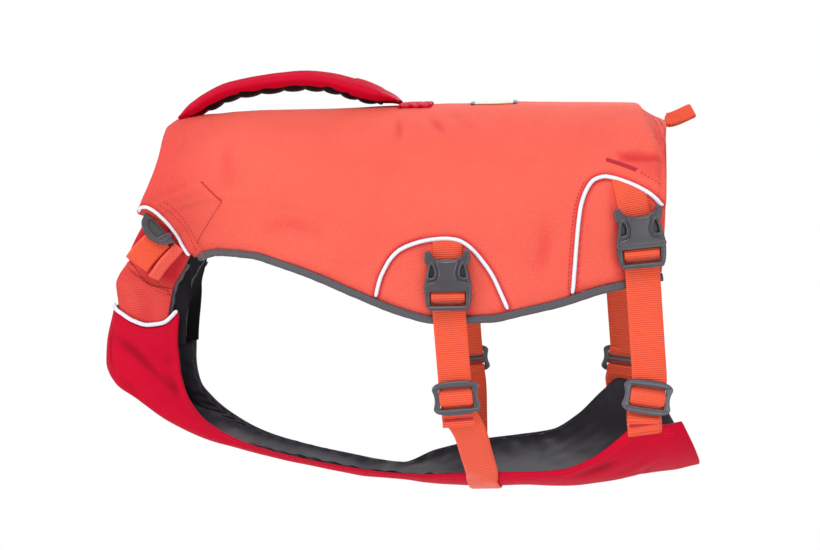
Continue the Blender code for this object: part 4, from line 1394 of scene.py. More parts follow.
@dataclass
class BackPanel:
    """Foam back panel in coarse orange cloth, with its folds, seams and stitched tail hem."""

    wardrobe: Wardrobe
    form: BackForm
    rows: int = 210
    columns: int = 176
    hem_drop: float = 2.0
    hem_soft: float = 1.5
    patch_rise: float = 0.9
    arch_drop: float = 0.8
    least_wall: float = 1.4 * MM
    foam_edge: dict[str, Track] = field(default_factory=lambda: tracks(
        "t inset", (0, 19), (0.1, 19), (0.22, 15.5), (0.32, 9.5), (0.41, 6.5), (0.5, 5.5), (1, 5), plain=True))
    creases: tuple[Crease, ...] = creases(
        (-1.5, 9, -184, -8, -194, -24, -205, -42, -214, -58),
        (1.3, 9, -160, -14, -164.7, -34, -167.7, -54),
        (1, 8, -176, -20, -180, -36, -190, -54),
        (-1.2, 6, -170, -34, -166.5, -44, -167.5, -55),
        (-0.9, 11, -150, -26, -146, -46, -150, -68),
        (-0.8, 2.2, *sum(PATCH_TOP, ())),
        (-2.6, 4.6, 150.9, -37.5, 158, -39, 167, -37.2, 181.1, -39.5),
        (1, 5, 146.9, -32, 160, -32, 178.1, -33),
        (0.9, 4, 159, -47, 170, -46, 181, -50),
        (-0.9, 1.6, *sum(TAIL_SEAM, ())),
        (-0.8, 1.5, 180.5, 1, 182.5, -10, 184.5, -24, 185.5, -40, 184.5, -54),
        (-0.7, 1.4, 186.5, -2, 188.5, -14, 189.5, -28, 188.5, -44, 186.5, -58),
        (-1, 3, 146.4, -57.5, 147, -67, 149.1, -80),
        (-0.8, 9, -120, -96, -96, -88, -62, -97),
        (0.7, 9, -66, -120, -40, -108, -28, -84),
        (-0.8, 9, 92, -128, 97, -104, 96, -76),
        (0.7, 10, 78, -60, 106, -52, 132, -36),
        (-1.1, 4, -18, -4, -14, -14, -12, -27),
        (0.9, 4.2, -4, -3, 2, -13, 6, -24),
        (-1, 4, 8, -3, 16, -12, 24, -21),
        (-0.7, 4.4, 24, 0, 33, -8, 44, -15),
        (0.7, 5, -30, -6, -34, -18, -40, -32),
    )
    strap_shades: tuple[tuple[tuple[Place, ...], float, float], ...] = (
        (((14, -104), (41, -107), (46, -166), (12, -166)), 5.0, 0.55),
        (((146, -64), (176, -74), (190, -135), (150, -128)), 5.0, 0.6),
        (((154, -38), (186, -36), (184, -58), (168, -52)), 5.0, 0.35),
        (((150, -36), (166, -34.5), (182, -37), (184, -43), (160, -42.5)), 3.0, 0.75),
        (((-226, -62), (-196, -40), (-186, -52), (-205, -64), (-218, -72)), 6.0, 0.35),
    )
    skin: Skin = field(init=False)

    def relief(self, points: Array, v: Array, bare: Skin) -> Array:
        """Height of folds and seams over the bare form, in metres.

        Args:
            points: Places on the bare form.
            v: Shares across it.
            bare: The bare form.

        Returns:
            Height at each place.
        """
        flat = points.reshape(-1, 3)
        t = np.abs(v)
        rear = self.form.tails["rear"](t) * MM
        inset = (rear - points[..., 0]) / MM - self.foam_edge["inset"](t)
        total = -self.hem_drop * MM * (1.0 - smooth(inset / self.hem_soft * 0.5 + 0.5))
        total = total + waves(points, 7, 0.9, (150, 80)) * smooth((rear - points[..., 0]) / (20 * MM))
        total = total + waves(points, 11, 0.22, (38, 26))
        total = total - 1.2 * MM * (1.0 - smooth((1.0 - t) / 0.045))
        front = self.form.ends["front"](t) * MM
        total = total - 1.0 * MM * (1.0 - smooth((points[..., 0] - front) / (6 * MM)))
        total = total.reshape(-1)
        for crease in self.creases:
            total += crease.raised(flat, bare)
            total += crease.other_side(2.5 * math.sin(crease.course[0][0]), 0.8).raised(flat, bare)
        for side in Side:
            on_side = np.where(flat[:, 1] * side.value > 0, 1.0, 0.0)
            plan = flat[:, [0, 2]]
            patch = [*PATCH_TOP, *PATCH_REAR[1:], *PATCH_LOW[1:], *NECK_PIPING[::-1]]
            total += self.patch_rise * MM * on_side * inside(plan, np.array(patch) * MM, 1.6 * MM)
            for area in (FRONT_AREA, REAR_AREA):
                total -= self.arch_drop * MM * on_side * inside(plan, np.array(area) * MM, 3.0 * MM)
            look = Look.of(side)
            for seam in SEAMS:
                total += Crease(seam, -0.8, 2.6, look, True).raised(flat, bare)
        return total.reshape(points.shape[:-1])

    def build(self) -> Piece:
        """Make the panel.

        Returns:
            The panel.
        """
        u, v = halves_grid(self.rows, self.columns)
        bare = self.form.point(u, v)
        normal = self.form.facing(u, v)
        rise = self.relief(bare, v, Skin(bare, normal))
        face = bare + normal * rise[..., None]
        self.skin = Skin(face, normals_of(face, normal))
        wall = np.maximum(self.form.wall(u, v) + rise, self.least_wall)
        # Painted shade: darker share in the relief's hollows, beside pipings, round straps and toward the neck.
        painted_shade = np.maximum(hollows(rise, 9, 1.3 * MM) * 0.55, self.shade_of(bare))
        station = bare[..., 0] - bare[0, bare.shape[1] // 2, 0]
        fabric = sheet_of(face, normal, wall, laid_out(bare, station, from_middle(bare), painted_shade), 0.42)
        piece = fabric.piece("back_panel_cloth", [self.wardrobe.orange, self.wardrobe.lining],
                             ["back_panel"], "orange_shell")
        return piece

    def shade_of(self, points: Array) -> Array:
        """Share of painted shade beside the pipings, round the straps and toward the neck.

        Args:
            points: Places on the bare form.

        Returns:
            A share for each place.
        """
        plan = points.reshape(-1, 3)[:, [0, 2]]
        share = 0.38 * (1.0 - smooth((plan[:, 0] / MM + 212.0) / 68.0))
        for seam in SEAMS:
            line = catmull(np.array(seam) * MM, 6)
            away = np.linalg.norm(plan[:, None] - line[None], axis=-1).min(1)
            share = np.maximum(share, 0.75 * (1.0 - smooth((away - 1.5 * MM) / (4.0 * MM))))
        for places, soft, most in self.strap_shades:
            share = np.maximum(share, most * inside(plan, np.array(places) * MM, soft * MM))
        return share.reshape(points.shape[:-1])

    def height(self, x: float, z: float) -> float:
        """Section share t of the bare panel at a station and height.

        Args:
            x: Station, in metres.
            z: Height, in metres.

        Returns:
            The share.
        """
        low, high = 0.0, 1.1
        for _ in range(40):
            mid = 0.5 * (low + high)
            low, high = (mid, high) if self.form.at(np.array(x), np.array(mid))[2] > z else (low, mid)
        return 0.5 * (low + high)

    def course(self, places: Sequence[Place], side: Side, step: float) -> tuple[Array, Array]:
        """Run over the dressed panel through places in millimetres, even past its edge.

        Args:
            places: Places that the run goes through.
            side: The side of the jacket.
            step: Distance between two points.

        Returns:
            Points of the run and the outward directions there.
        """
        flat = catmull(np.array(places, float) * MM, 8)
        flat = resample(flat, max(3, int(lengths(flat)[-1] / step) + 1))
        bare = np.array([self.form.at(np.array(x), np.array(self.height(x, z))) for x, z in flat])
        bare = mirrored(bare, side)
        points, out = parted(self.skin.nearest(place) for place in bare)
        out = unit(out)
        return bare + out * ((points - bare) * out).sum(1, keepdims=True), out

    def edge(self, side: Side, count: int) -> tuple[Array, Array, Array]:
        """Run along the hem.

        Args:
            side: The side of the jacket.
            count: Number of points.

        Returns:
            The middle of the binding, the way out of the panel and the way it faces.
        """
        u = np.linspace(0.02, 1.0, count)
        v = -np.ones_like(u)
        e = 0.003
        point = self.form.point(u, v)
        facing = self.form.facing(u, v)
        down = unit(self.form.point(u, v - e) - point)
        along = unit(self.form.point(u + e, v) - self.form.point(u - e, v))
        out = unit(down - along * (along * down).sum(1, keepdims=True))
        base = point - facing * (self.form.edge / 2) + out * (GAP * 1.5 + self.form.hem_high / 2)
        return mirrored(base, side), mirrored(out, side), mirrored(facing, side)


@dataclass
class HemBinding:
    """Charcoal binding folded round the panel's hem, slightly gathered."""

    wardrobe: Wardrobe
    panel: BackPanel
    high: float = 6.0 * MM
    thick: float = 5.6 * MM
    gather: float = 0.45 * MM

    def build(self, side: Side) -> Piece:
        """Make one side's binding.

        Args:
            side: The side of the jacket.

        Returns:
            The binding.
        """
        middle, out, facing = self.panel.edge(side, 260)
        turn = round_angles(20)
        run = lengths(middle)
        rng = np.random.default_rng(3 + side.value)
        ripple = np.zeros(len(run))
        for length in (9.0, 14.0, 23.0):
            ripple += np.sin(run * (TURN / (length * MM)) + rng.uniform(0, 6.28))
        ripple = ripple / 3.0 * self.gather * (1.0 + 1.6 * (1.0 - smooth(run / (60 * MM))))
        flat = np.sign(np.cos(turn)) * np.abs(np.cos(turn)) ** 0.7 * self.high / 2
        fat = np.sign(np.sin(turn)) * np.abs(np.sin(turn)) ** 0.6 * self.thick / 2
        swell = 1.0 + ripple[:, None] / self.thick * 1.6
        loops = (middle[:, None] + out[:, None] * (flat[None, :] + ripple[:, None] * 0.25)[..., None]
                 + facing[:, None] * (fat[None, :] * swell)[..., None])
        fabric = swept(loops, laid_out(loops, run[:, None], turn * self.high / 2))
        return fabric.piece(f"hem_binding_{side.tag}_tape", [self.wardrobe.binding],
                            [f"hem_binding_{side.tag}"], "grey_lining")


@dataclass
class Stitching:
    """Rows of short sewing stitches, collected by thread and made as one mesh each."""

    pitch: float = 2.9 * MM
    long: float = 2.0 * MM
    radius: float = 0.38 * MM
    proud: float = 0.08 * MM
    rows: dict[str, list[tuple[Array, Array]]] = field(default_factory=dict)

    def sew(self, thread: str, path: Array, out: Array) -> None:
        """Add a row of stitches.

        Args:
            thread: Name of the thread.
            path: Course of the seam.
            out: Outward directions along it.
        """
        run = lengths(path)
        for k in range(int(run[-1] / self.pitch)):
            centre = (k + 0.5) * self.pitch
            way = unit(drawn(centre, run, out))
            span = drawn(np.array([centre - self.long / 2, centre + self.long / 2]), run, path)
            self.rows.setdefault(thread, []).append((span + way * self.proud, way))

    def tack(self, thread: str, path: Array, out: Array, wide: float, step: float = 0.62 * MM) -> None:
        """Add a bar tack: close stitches across its course.

        Args:
            thread: Name of the thread.
            path: Course of the bar.
            out: Outward directions along it.
            wide: Length of each stitch.
            step: Distance between stitches.
        """
        run = lengths(path)
        for k in range(int(run[-1] / step) + 1):
            place, way = drawn(k * step, run, path), unit(drawn(k * step, run, out))
            along = unit(drawn(k * step + 1e-4, run, path) - drawn(k * step - 1e-4, run, path))
            lean = unit(np.cross(way, along) + along * (0.22 if k % 2 else -0.22)) * (wide / 2)
            lift = way * (0.12 + 0.10 * (k % 2)) * MM
            self.rows.setdefault(thread, []).append((np.stack([place - lean, place + lean]) + lift, way))

    def build(self, threads: dict[str, tuple[Material, str]]) -> None:
        """Make every thread's stitches as one piece.

        Args:
            threads: Material and slot of each thread.
        """
        shares = np.array([0.0, 0.12, 0.5, 0.88, 1.0])
        girth = np.array([0.35, 0.85, 1.0, 0.85, 0.35])
        sink = np.array([-1.2, -0.2, 0.1, -0.2, -1.2])
        turn = round_angles(6)
        for thread, spans in self.rows.items():
            material, slot = threads[thread]
            fabric = Fabric()
            for span, way in spans:
                along = unit(span[1] - span[0])
                across = np.cross(along, way)
                centre = span[0] + (span[1] - span[0]) * shares[:, None] + way * (sink * self.radius)[:, None]
                spoke = way * np.cos(turn)[:, None] + across * np.sin(turn)[:, None]
                loops = centre[:, None] + spoke[None] * (girth * self.radius)[:, None, None]
                fabric.merge(swept(loops, np.zeros(loops.shape)))
            fabric.piece(f"stitches_{thread}", [material], (), slot)


@dataclass
class Piping:
    """White piping laid into the panel's seams."""

    wardrobe: Wardrobe
    panel: BackPanel
    radius: float = 1.5 * MM
    sink: float = 0.35 * MM
    courses: dict[str, tuple[Place, ...]] = field(default_factory=lambda: {
        "neck": NECK_PIPING, "front_arch": FRONT_ARCH, "rear_arch": REAR_ARCH})

    def build(self, side: Side) -> None:
        """Make one side's three pipings.

        Args:
            side: The side of the jacket.
        """
        for name, places in self.courses.items():
            path, out = self.panel.course(places, side, 2.0 * MM)
            node = f"piping_{name}_{side.tag}"
            run = lengths(path)
            wander = 0.12 * MM * np.sin(run * (TURN / (31 * MM)) + len(name))
            path = path + out * (self.radius - self.sink + wander[:, None])
            tube(path, self.radius, 14).piece(node + "_cord", [self.wardrobe.piping], [node], "piping")


# ---------------------------------------------------------------- sling
@dataclass
class Sling:
    """Chest and belly sling: red outer cloth over a grey lining, open along both legs."""

    wardrobe: Wardrobe
    form: SlingForm
    outer_wall: float = 2.2 * MM
    lining_wall: float = 1.5 * MM
    rows: int = 240
    columns: int = 96
    creases: tuple[Crease, ...] = creases(
        (-1.6, 6.5, -261.3, -183.4, -245.8, -194.5, -231.6, -207, -217.7, -221.4, -204.4, -236.6),
        (-1.4, 6, -227.2, -190.2, -215.3, -211.4, -198.7, -236.7, -181.1, -257.1),
        (1, 7, -252, -205, -238, -217, -222, -234),
        (1.2, 6.5, -236, -190, -224, -205, -208, -226),
        (-0.8, 4.5, -214, -182, -209, -200, -204, -214),
        (-0.9, 6, -262, -215, -250, -226, -236, -240),
        (-0.8, 4, -150, -272, -120, -283, -85, -291),
        (-0.9, 1.7, -261.5, -176.4, -264.7, -191.2, -264.8, -204, -260.8, -217.5),
        (-0.8, 2, 176, -290, 181, -276, 186, -264),
        (-1.3, 6, 118, -284, 140, -272, 162, -258),
        (1.2, 6, 150, -285, 168, -274, 184, -262),
        (-1, 6, 128, -292, 152, -288, 180, -276),
    )
    skin: Skin = field(init=False)

    def build(self) -> Piece:
        """Make the red cloth and its lining.

        Returns:
            The red cloth.
        """
        u, v = halves_grid(self.rows, self.columns)
        bare = self.form.point(u, v)
        normal = self.form.facing(u, v)
        skin = Skin(bare, normal)
        flat = bare.reshape(-1, 3)
        rise = waves(flat, 21, 0.9, (120, 70)) + waves(flat, 22, 0.25, (34, 22))
        for crease in self.creases:
            rise += crease.raised(flat, skin)
            rise += crease.other_side(3.0 * math.cos(crease.course[0][0]), 0.85).raised(flat, skin)
        rise = rise.reshape(bare.shape[:2]) * (0.35 + 0.65 * smooth((1.0 - np.abs(v)) / 0.12))
        face = bare + normal * rise[..., None]
        self.skin = Skin(face, normals_of(face, normal))
        # Painted shade in the hollows of the sling's folds, as the third cloth value.
        cloth = laid_out(bare, u * self.form.long, from_middle(bare), hollows(rise, 6, 1.1 * MM) * 0.8)
        outer = sheet_of(face, normal, self.outer_wall, cloth).piece(
            "sling_outer_cloth", [self.wardrobe.red, self.wardrobe.lining], ["sling_outer"], "red_shell")
        self.build_lining(u, v, rise, cloth)
        return outer

    def build_lining(self, u: Array, v: Array, rise: Array, cloth: Array) -> None:
        """Make the lining, which puckers where it is sewn to the red cloth.

        Args:
            u: Shares down the form.
            v: Shares across it.
            rise: Relief of the red cloth.
            cloth: Its cloth coordinates.
        """
        start = int(np.ceil((26.0 * MM / self.form.long + 0.002) * (self.rows - 1)))
        u, v, rise, cloth = u[start:], v[start:], rise[start:], cloth[start:]
        bare = self.form.point(u, v)
        normal = self.form.facing(u, v)
        run = u * self.form.long
        near = 1.0 - smooth((1.0 - np.abs(v)) / 0.30)
        lift = self.outer_wall + GAP * 1.5
        side = np.where(v < 0, 0.7, 0.0)
        scallop = np.sin(run * (TURN / (17 * MM)) + side + 1.4 * np.sin(run * 31.0)) * near
        pleat = 1.0 * MM * scallop + waves(bare, 31, 0.55, (24, 14))
        pleat = pleat + waves(bare, 32, 1.5, (60, 36)) * (1.0 - near * 0.6)
        inward = np.maximum(-(rise + 0.2 * MM - pleat), -2.5 * MM)
        depth = lift + np.maximum(inward + 0.9 * MM, 0.0)
        face = bare - normal * depth[..., None]
        piece = sheet_of(face, normal, self.lining_wall, cloth).piece(
            "sling_lining_cloth", [self.wardrobe.lining, self.wardrobe.lining], ["sling_lining"], "grey_lining")


# ---------------------------------------------------------------- hardware
Frame = tuple[Array, Array, Array]      # a place with its across and down directions
AWAY = np.array([0.0, -1.0, 0.0])


def leaning(degrees: float) -> tuple[Array, Array]:
    """Across and down directions of hardware leaning toward the tail at the bottom."""
    a = math.radians(degrees)
    return np.array([math.cos(a), 0.0, math.sin(a)]), np.array([math.sin(a), 0.0, -math.cos(a)])


def rounded(wide: float, high: float, r: float, drop: float) -> tuple[Place, ...]:
    """Rounded rectangle in millimetres, its middle set down by drop.

    Args:
        wide: Width.
        high: Height.
        r: Radius of the corners.
        drop: Distance down to its middle.

    Returns:
        Its outline.
    """
    out = []
    for qx, qy, start in ((1, 1, 0), (-1, 1, 90), (-1, -1, 180), (1, -1, 270)):
        for k in range(7):
            a = math.radians(start + 15.0 * k)
            out.append((qx * (wide / 2 - r) + r * math.cos(a), drop + qy * (high / 2 - r) + r * math.sin(a)))
    return tuple(out)


def both_halves(points: Sequence[Place]) -> tuple[Place, ...]:
    """Close a half outline, given from top to bottom on the right, with its mirror."""
    return (*points, *((-a, b) for a, b in reversed(points) if abs(a) > 1e-6))


def softened(loop: Sequence[Place], steps: int = 4) -> tuple[Place, ...]:
    """Closed loop rounded through its points."""
    return tuple((float(a), float(b)) for a, b in catmull(np.array(loop, float), steps, True))


@dataclass(frozen=True)
class Moulding:
    """One plastic body of a fitting: loops in millimetres, a thickness and a bevel.

    rise is how far its middle lies out from the fitting's own middle.
    """

    loops: tuple[tuple[Place, ...], ...]
    thick: float
    bevel: float = 0.6
    rise: float = 0.0

    def mesh(self) -> bpy.types.Mesh:
        """Flat body in millimetres with rounded edges, x across, y down, z out.

        Returns:
            The mesh.
        """
        curve = bpy.data.curves.new("moulding", "CURVE")
        curve.dimensions = "2D"
        curve.fill_mode = "BOTH"
        curve.extrude = self.thick / 2 - self.bevel
        curve.bevel_depth = self.bevel
        curve.bevel_resolution = 2
        curve.offset = -self.bevel
        for loop in self.loops:
            line = curve.splines.new("POLY")
            line.points.add(len(loop) - 1)
            for point, (a, b) in zip(line.points, loop):
                point.co = (a, b, 0.0, 1.0)
            line.use_cyclic_u = True
        holder = bpy.data.objects.new("moulding", curve)
        mesh = bpy.data.meshes.new_from_object(holder)
        bpy.data.objects.remove(holder, do_unlink=True)
        bpy.data.curves.remove(curve)
        mesh.transform(Matrix.Translation((0.0, 0.0, self.rise)))
        return mesh


def moulded(node: str, bodies: Sequence[Moulding], seat: Frame, side: Side, material: Material) -> Piece:
    """Plastic fitting of one or more bodies.

    Args:
        node: The solid that it stands for.
        bodies: Its bodies.
        seat: Middle, across and down of the left-side fitting.
        side: The side that it is on.
        material: Its plastic.

    Returns:
        The fitting.
    """
    origin, across, down = seat
    out = np.cross(across, down)
    if out[1] > 0:
        out = -out
    place = np.stack([across * MM, down * MM, out * MM], 1)
    fabric = Fabric()
    for body in bodies:
        flat = body.mesh()
        points = np.array([v.co for v in flat.vertices])
        key = np.round(points * 2000).astype(int)
        _, first, back = np.unique(key, axis=0, return_index=True, return_inverse=True)
        world = mirrored(origin + points[first] @ place.T, side)
        start = fabric.add(world, world)
        faces = []
        for polygon in flat.polygons:
            corners = list(dict.fromkeys(int(back.ravel()[k]) for k in polygon.vertices))
            if len(corners) > 2:
                faces.append(corners)
        if volume(world, faces) < 0.0:
            faces = [face[::-1] for face in faces]
        for corners in faces:
            fabric.face([start + k for k in corners])
        bpy.data.meshes.remove(flat)
    piece = fabric.piece(node + "_moulding", [material], [node], "plastic")
    piece.data.set_sharp_from_angle(angle=math.radians(38))
    weighted = piece.modifiers.new("even_shading", "WEIGHTED_NORMAL")
    weighted.keep_sharp = True
    return piece


BUCKLE_OUTLINE = (
    (0.0, -15.2), (5.0, -15.6), (9.0, -16.8), (11.2, -18.4), (12.2, -21.0), (13.6, -22.2), (15.8, -21.4),
    (16.8, -18.4), (16.6, -13.4), (14.6, -11.4), (15.2, -7.0), (16.2, -2.4), (16.9, 0.8), (17.4, 4.0),
    (17.2, 11.0), (16.4, 17.0), (14.6, 20.9), (8.0, 22.0), (0.0, 22.2))
BUCKLE_EYE = ((13.4, -4.6), (12.9, -2.4), (10.2, -3.2), (9.4, -6.4), (10.6, -10.4), (11.8, -11.2))
BUCKLE_RIB = ((15.4, -4.0), (14.4, -0.4), (9.6, -1.0), (7.6, -6.0), (9.2, -12.4), (12.4, -13.4))
BUCKLE_BODY = (
    (0.0, -14.4), (4.6, -14.8), (7.8, -15.4), (8.4, -13.0), (7.4, -9.4), (6.6, -5.6), (8.2, -0.6),
    (13.6, 1.0), (16.2, 2.6), (16.2, 5.6), (12.6, 6.3), (0.0, 6.5))
BUCKLE_LIP = ((0.0, 4.6), (12.8, 4.4), (16.8, 3.0), (17.2, 6.6), (14.0, 7.9), (0.0, 8.1))
BUCKLE_FLOOR = ((0.0, -13.5), (13.8, -13.0), (14.4, -1.0), (0.0, -0.5))


@dataclass
class SideReleaseBuckle:
    """Closed side-release buckle; sizes in millimetres across, down and out."""

    wardrobe: Wardrobe
    thick: float = 8.0

    def bodies(self) -> list[Moulding]:
        """The buckle's plastic bodies.

        Returns:
            The bodies.
        """
        eye, rib = softened(BUCKLE_EYE), softened(BUCKLE_RIB)
        other, other_rib = (tuple((-a, b) for a, b in loop) for loop in (eye, rib))
        outline, body, lip = (softened(both_halves(half), 3) for half in (BUCKLE_OUTLINE, BUCKLE_BODY, BUCKLE_LIP))
        return [Moulding((outline, eye, other, rounded(26.2, 12.2, 2.6, 12.4)), self.thick - 2.2, 1.3, -1.0),
                Moulding((rib, eye), 6.6, 0.9, -0.2),
                Moulding((other_rib, other), 6.6, 0.9, -0.2),
                Moulding((body,), self.thick - 1.0, 1.6, 0.5),
                Moulding((lip,), self.thick - 0.4, 0.8, 0.2),
                Moulding((both_halves(BUCKLE_FLOOR),), 1.4, 0.3, -3.1),
                Moulding((rounded(30.0, 3.6, 1.7, 20.2),), self.thick - 0.8, 1.5, -0.2)]

    def build(self, label: str, seat: Frame, side: Side) -> Piece:
        """Make one buckle."""
        return moulded(f"buckle_{label}", self.bodies(), seat, side, self.wardrobe.buckle)


SLIDER_OUTLINE = (
    (0.0, -12.9), (8.0, -12.6), (13.6, -11.4), (16.4, -9.6), (17.4, -7.2), (16.4, -3.4), (16.0, 0.0),
    (16.4, 3.4), (17.4, 7.2), (16.4, 9.6), (13.6, 11.4), (8.0, 12.2), (0.0, 12.4))
SLIDER_BAR = ((0.0, -12.8), (8.0, -12.5), (13.6, -11.2), (16.0, -9.4), (15.2, -7.9), (12.0, -8.3), (0.0, -8.6))


@dataclass
class StrapSlider:
    """Three-bar slider; sizes in millimetres."""

    wardrobe: Wardrobe
    thick: float = 3.0

    def bodies(self) -> list[Moulding]:
        """The slider's frame with its two round outer bars.

        Returns:
            The bodies.
        """
        slots = (rounded(25.0, 5.6, 1.6, drop) for drop in (-4.9, 4.9))
        upper = softened(both_halves(SLIDER_BAR), 3)
        lower = tuple((a, -b - 0.4) for a, b in reversed(upper))
        return [Moulding((softened(both_halves(SLIDER_OUTLINE), 3), *slots), self.thick, 0.9),
                *(Moulding((bar,), self.thick + 1.2, 1.2, 0.5) for bar in (upper, lower))]

    def build(self, label: str, seat: Frame, side: Side) -> Piece:
        """Make one slider."""
        return moulded(f"slider_{label}", self.bodies(), seat, side, self.wardrobe.slider)


# ---------------------------------------------------------------- belly straps
@dataclass(frozen=True)
class StrapPlan:
    """Course of a belly strap on the left side, in millimetres and degrees."""

    name: str
    top: Place
    buckle: Place
    lean: float
    slider: Place
    slider_lean: float
    falls: dict[Side, tuple[tuple[float, float, float], ...]]
    hugs: dict[Side, tuple[Place, ...]]
    fold: float
    tuck: float
    arch: tuple[Place, ...]


FRONT_FALLS = {
    Side.LEFT: ((39.5, -90.4, -235.2), (44.5, -85.2, -246.4), (48.5, -75.0, -264.0), (52.0, -65.2, -280.0)),
    Side.RIGHT: ((36.6, -90.4, -235.2), (37.6, -86.0, -246.6), (38.4, -75.5, -264.0), (39.2, -63.9, -280.0)),
}
FRONT_HUGS = {
    Side.LEFT: ((52.0, -0.93), (53.0, -0.82), (54.0, -0.66), (54.5, -0.48), (55.0, -0.30)),
    Side.RIGHT: ((39.5, -0.93), (39.8, -0.82), (40.0, -0.66), (40.0, -0.48), (40.0, -0.30)),
}
REAR_FALLS = {side: ((171.0, -91.6, -232.0),) for side in Side}
REAR_HUGS = {side: ((171.2, -0.972), (171.5, -0.942), (171.8, -0.912)) for side in Side}
STRAP_PLANS = (
    StrapPlan("front", (27.2, -106.5), (28.0, -129.3), 1.5, (34.2, -216.6), 6.0, FRONT_FALLS, FRONT_HUGS,
              15.5, 9.5, FRONT_AREA),
    StrapPlan("rear", (160.5, -70.5), (165.8, -97.5), 6.0, (173.0, -213.8), -7.0, REAR_FALLS, REAR_HUGS,
              22.0, 18.0, REAR_AREA),
)


@dataclass
class BellyStrap:
    """One belly strap: top webbing, buckle, adjusting webbing, slider and sling anchor."""

    wardrobe: Wardrobe
    plan: StrapPlan
    panel: BackPanel
    sling: Sling
    stitching: Stitching
    wide: float = 25.0 * MM
    thick: float = 1.7 * MM
    buckle_thick: float = 8.0 * MM
    buckle_lift: float = 3.3 * MM
    plate: float = 3.0 * MM
    thread: tuple[Place, ...] = (
        (-9.0, -2.75), (-7.2, -2.65), (-6.1, -1.9), (-4.9, 0.0), (-3.8, 1.9), (-2.4, 2.75), (2.5, 2.75),
        (4.1, 1.6), (4.6, 0.3))
    bar: tuple[Place, ...] = ((0.0, -1.2), (1.2, 1.0), (3.6, 1.6), (6.2, -0.2))
    lower_slot: float = 8.6
    below_slot: Place = (9.2, 14.5)
    enters_slider: Place = (-14.0, -2.75)
    leaves_slider: tuple[float, float, float] = (6.6, 10.0, 14.0)
    tucked: float = 3.6 * MM
    fold_bulge: float = 0.8 * MM
    tack_in: float = 5.5 * MM
    tack_half: float = 11.0

    def bare_seat(self, x: float, z: float) -> float:
        """Y of the bare left panel at a station and height."""
        return float(self.panel.form.at(np.array(x), np.array(self.panel.height(x, z)))[1])

    def seats(self) -> tuple[Frame, Frame]:
        """Places of the buckle and of the slider on the left side.

        Returns:
            Middle, across and down of each.
        """
        bx, bz = self.plan.buckle[0] * MM, self.plan.buckle[1] * MM
        across, down = leaning(self.plan.lean)
        face = min(self.bare_seat(bx + dx * MM, bz + dz * MM) for dx in (-15, 0, 15) for dz in (-20, 0, 20))
        back = face - self.buckle_lift
        origin = np.array([bx, back - self.buckle_thick / 2, bz])
        slider = np.array([self.plan.slider[0] * MM, back - 0.2 * MM, self.plan.slider[1] * MM])
        return (origin, across, down), (slider, *leaning(self.plan.slider_lean))

    def strap(self, node: str, path: Array, across: Array, out: Array, side: Side, wide: float) -> None:
        """Make webbing along a left-side course."""
        fabric = band(path, across, out, side, wide, self.thick, 12)
        fabric.piece(node + "_strap", [self.wardrobe.web], [node], "webbing")

    def build(self, side: Side) -> None:
        """Make one side's strap.

        Args:
            side: The side of the jacket.
        """
        label = f"{self.plan.name}_{side.tag}"
        buckle, slider = self.seats()
        SideReleaseBuckle(self.wardrobe).build(label, buckle, side)
        StrapSlider(self.wardrobe).build(label, slider, side)
        self.build_top(label, side, buckle[0] + buckle[2] * (-6.0 * MM))
        self.build_adjuster(label, side, buckle, slider)
        self.build_anchor(label, side, slider)

    def build_top(self, label: str, side: Side, end: Array) -> None:
        """Webbing laid on the panel, its lower end under the buckle.

        Args:
            label: The strap and its side, as in the names of its pieces.
            side: The side of the jacket.
            end: Where it ends.
        """
        finish = np.array([end[0], end[2]])
        start = np.array(self.plan.top) * MM
        start = start + unit(start - finish) * (self.plan.tuck * MM)
        steps = np.linspace(0.0, 1.0, 26)
        centre = start + (finish - start) * steps[:, None]
        ahead = unit(finish - start)
        square = np.array([-ahead[1], ahead[0]])
        wide = self.wide - 3.0 * MM
        arch = np.array(self.plan.arch) * MM
        share = np.linspace(-0.5, 0.5, 13)
        look = Look.of(side)
        top, low = [], []
        for a, b in centre:
            line, under = [], []
            for s in share:
                x, z = np.array([a, b]) + square * s * wide
                point, normal = self.panel.skin.seat(look, float(x), float(z))
                edge = 1.0 - 0.5 * (abs(s) * 2) ** 10
                shown = float(inside(np.array([[x, z]]), arch, 1.0 * MM)[0])
                point = point - normal * (self.tucked * (1.0 - shown))
                line.append(point + normal * (GAP + self.thick * edge))
                under.append(point + normal * GAP)
            top.append(line)
            low.append(under[::-1])
        loops = np.concatenate([np.array(top), np.array(low)], 1)
        cloth = laid_out(loops, (steps * np.linalg.norm(finish - start))[:, None],
                         np.concatenate([share, share[::-1]]) * self.wide)
        node = f"web_top_{label}"
        swept(loops, cloth).piece(node + "_strap", [self.wardrobe.web], [node], "webbing")

    def build_adjuster(self, label: str, side: Side, buckle: Frame, slider: Frame) -> None:
        """Webbing from the buckle's lower slot down into the slider.

        Args:
            label: The strap and its side, as in the names of its pieces.
            side: The side of the jacket.
            buckle: Middle, across and down of the buckle.
            slider: Middle, across and down of the slider.
        """
        origin, across, down = buckle
        plate_at, s_across, s_down = slider
        low = origin + down * (self.lower_slot * MM)
        behind = self.buckle_thick / 2 + GAP + self.thick / 2
        path = [low + down * (b * MM) + AWAY * (n * MM) for b, n in self.bar]
        path += [low + down * (b * MM) - AWAY * behind for b in self.below_slot]
        in_buckle = len(path)
        top = plate_at + s_down * (self.enters_slider[0] * MM) + AWAY * (self.enters_slider[1] * MM)
        start = path[-1]
        path += [start + (top - start) * f for f in (0.25, 0.5, 0.75)]
        between = len(path)
        path.append(top)
        path += [plate_at + s_down * (b * MM) + AWAY * (n * MM) for b, n in self.thread]
        hinge = unit(s_across * 0.5 + across * 0.5)
        wide = np.array([across if k < in_buckle else (hinge if k < between else s_across)
                         for k in range(len(path))])
        self.lay(f"web_adjust_{label}", np.array(path), wide, None, side, 5)

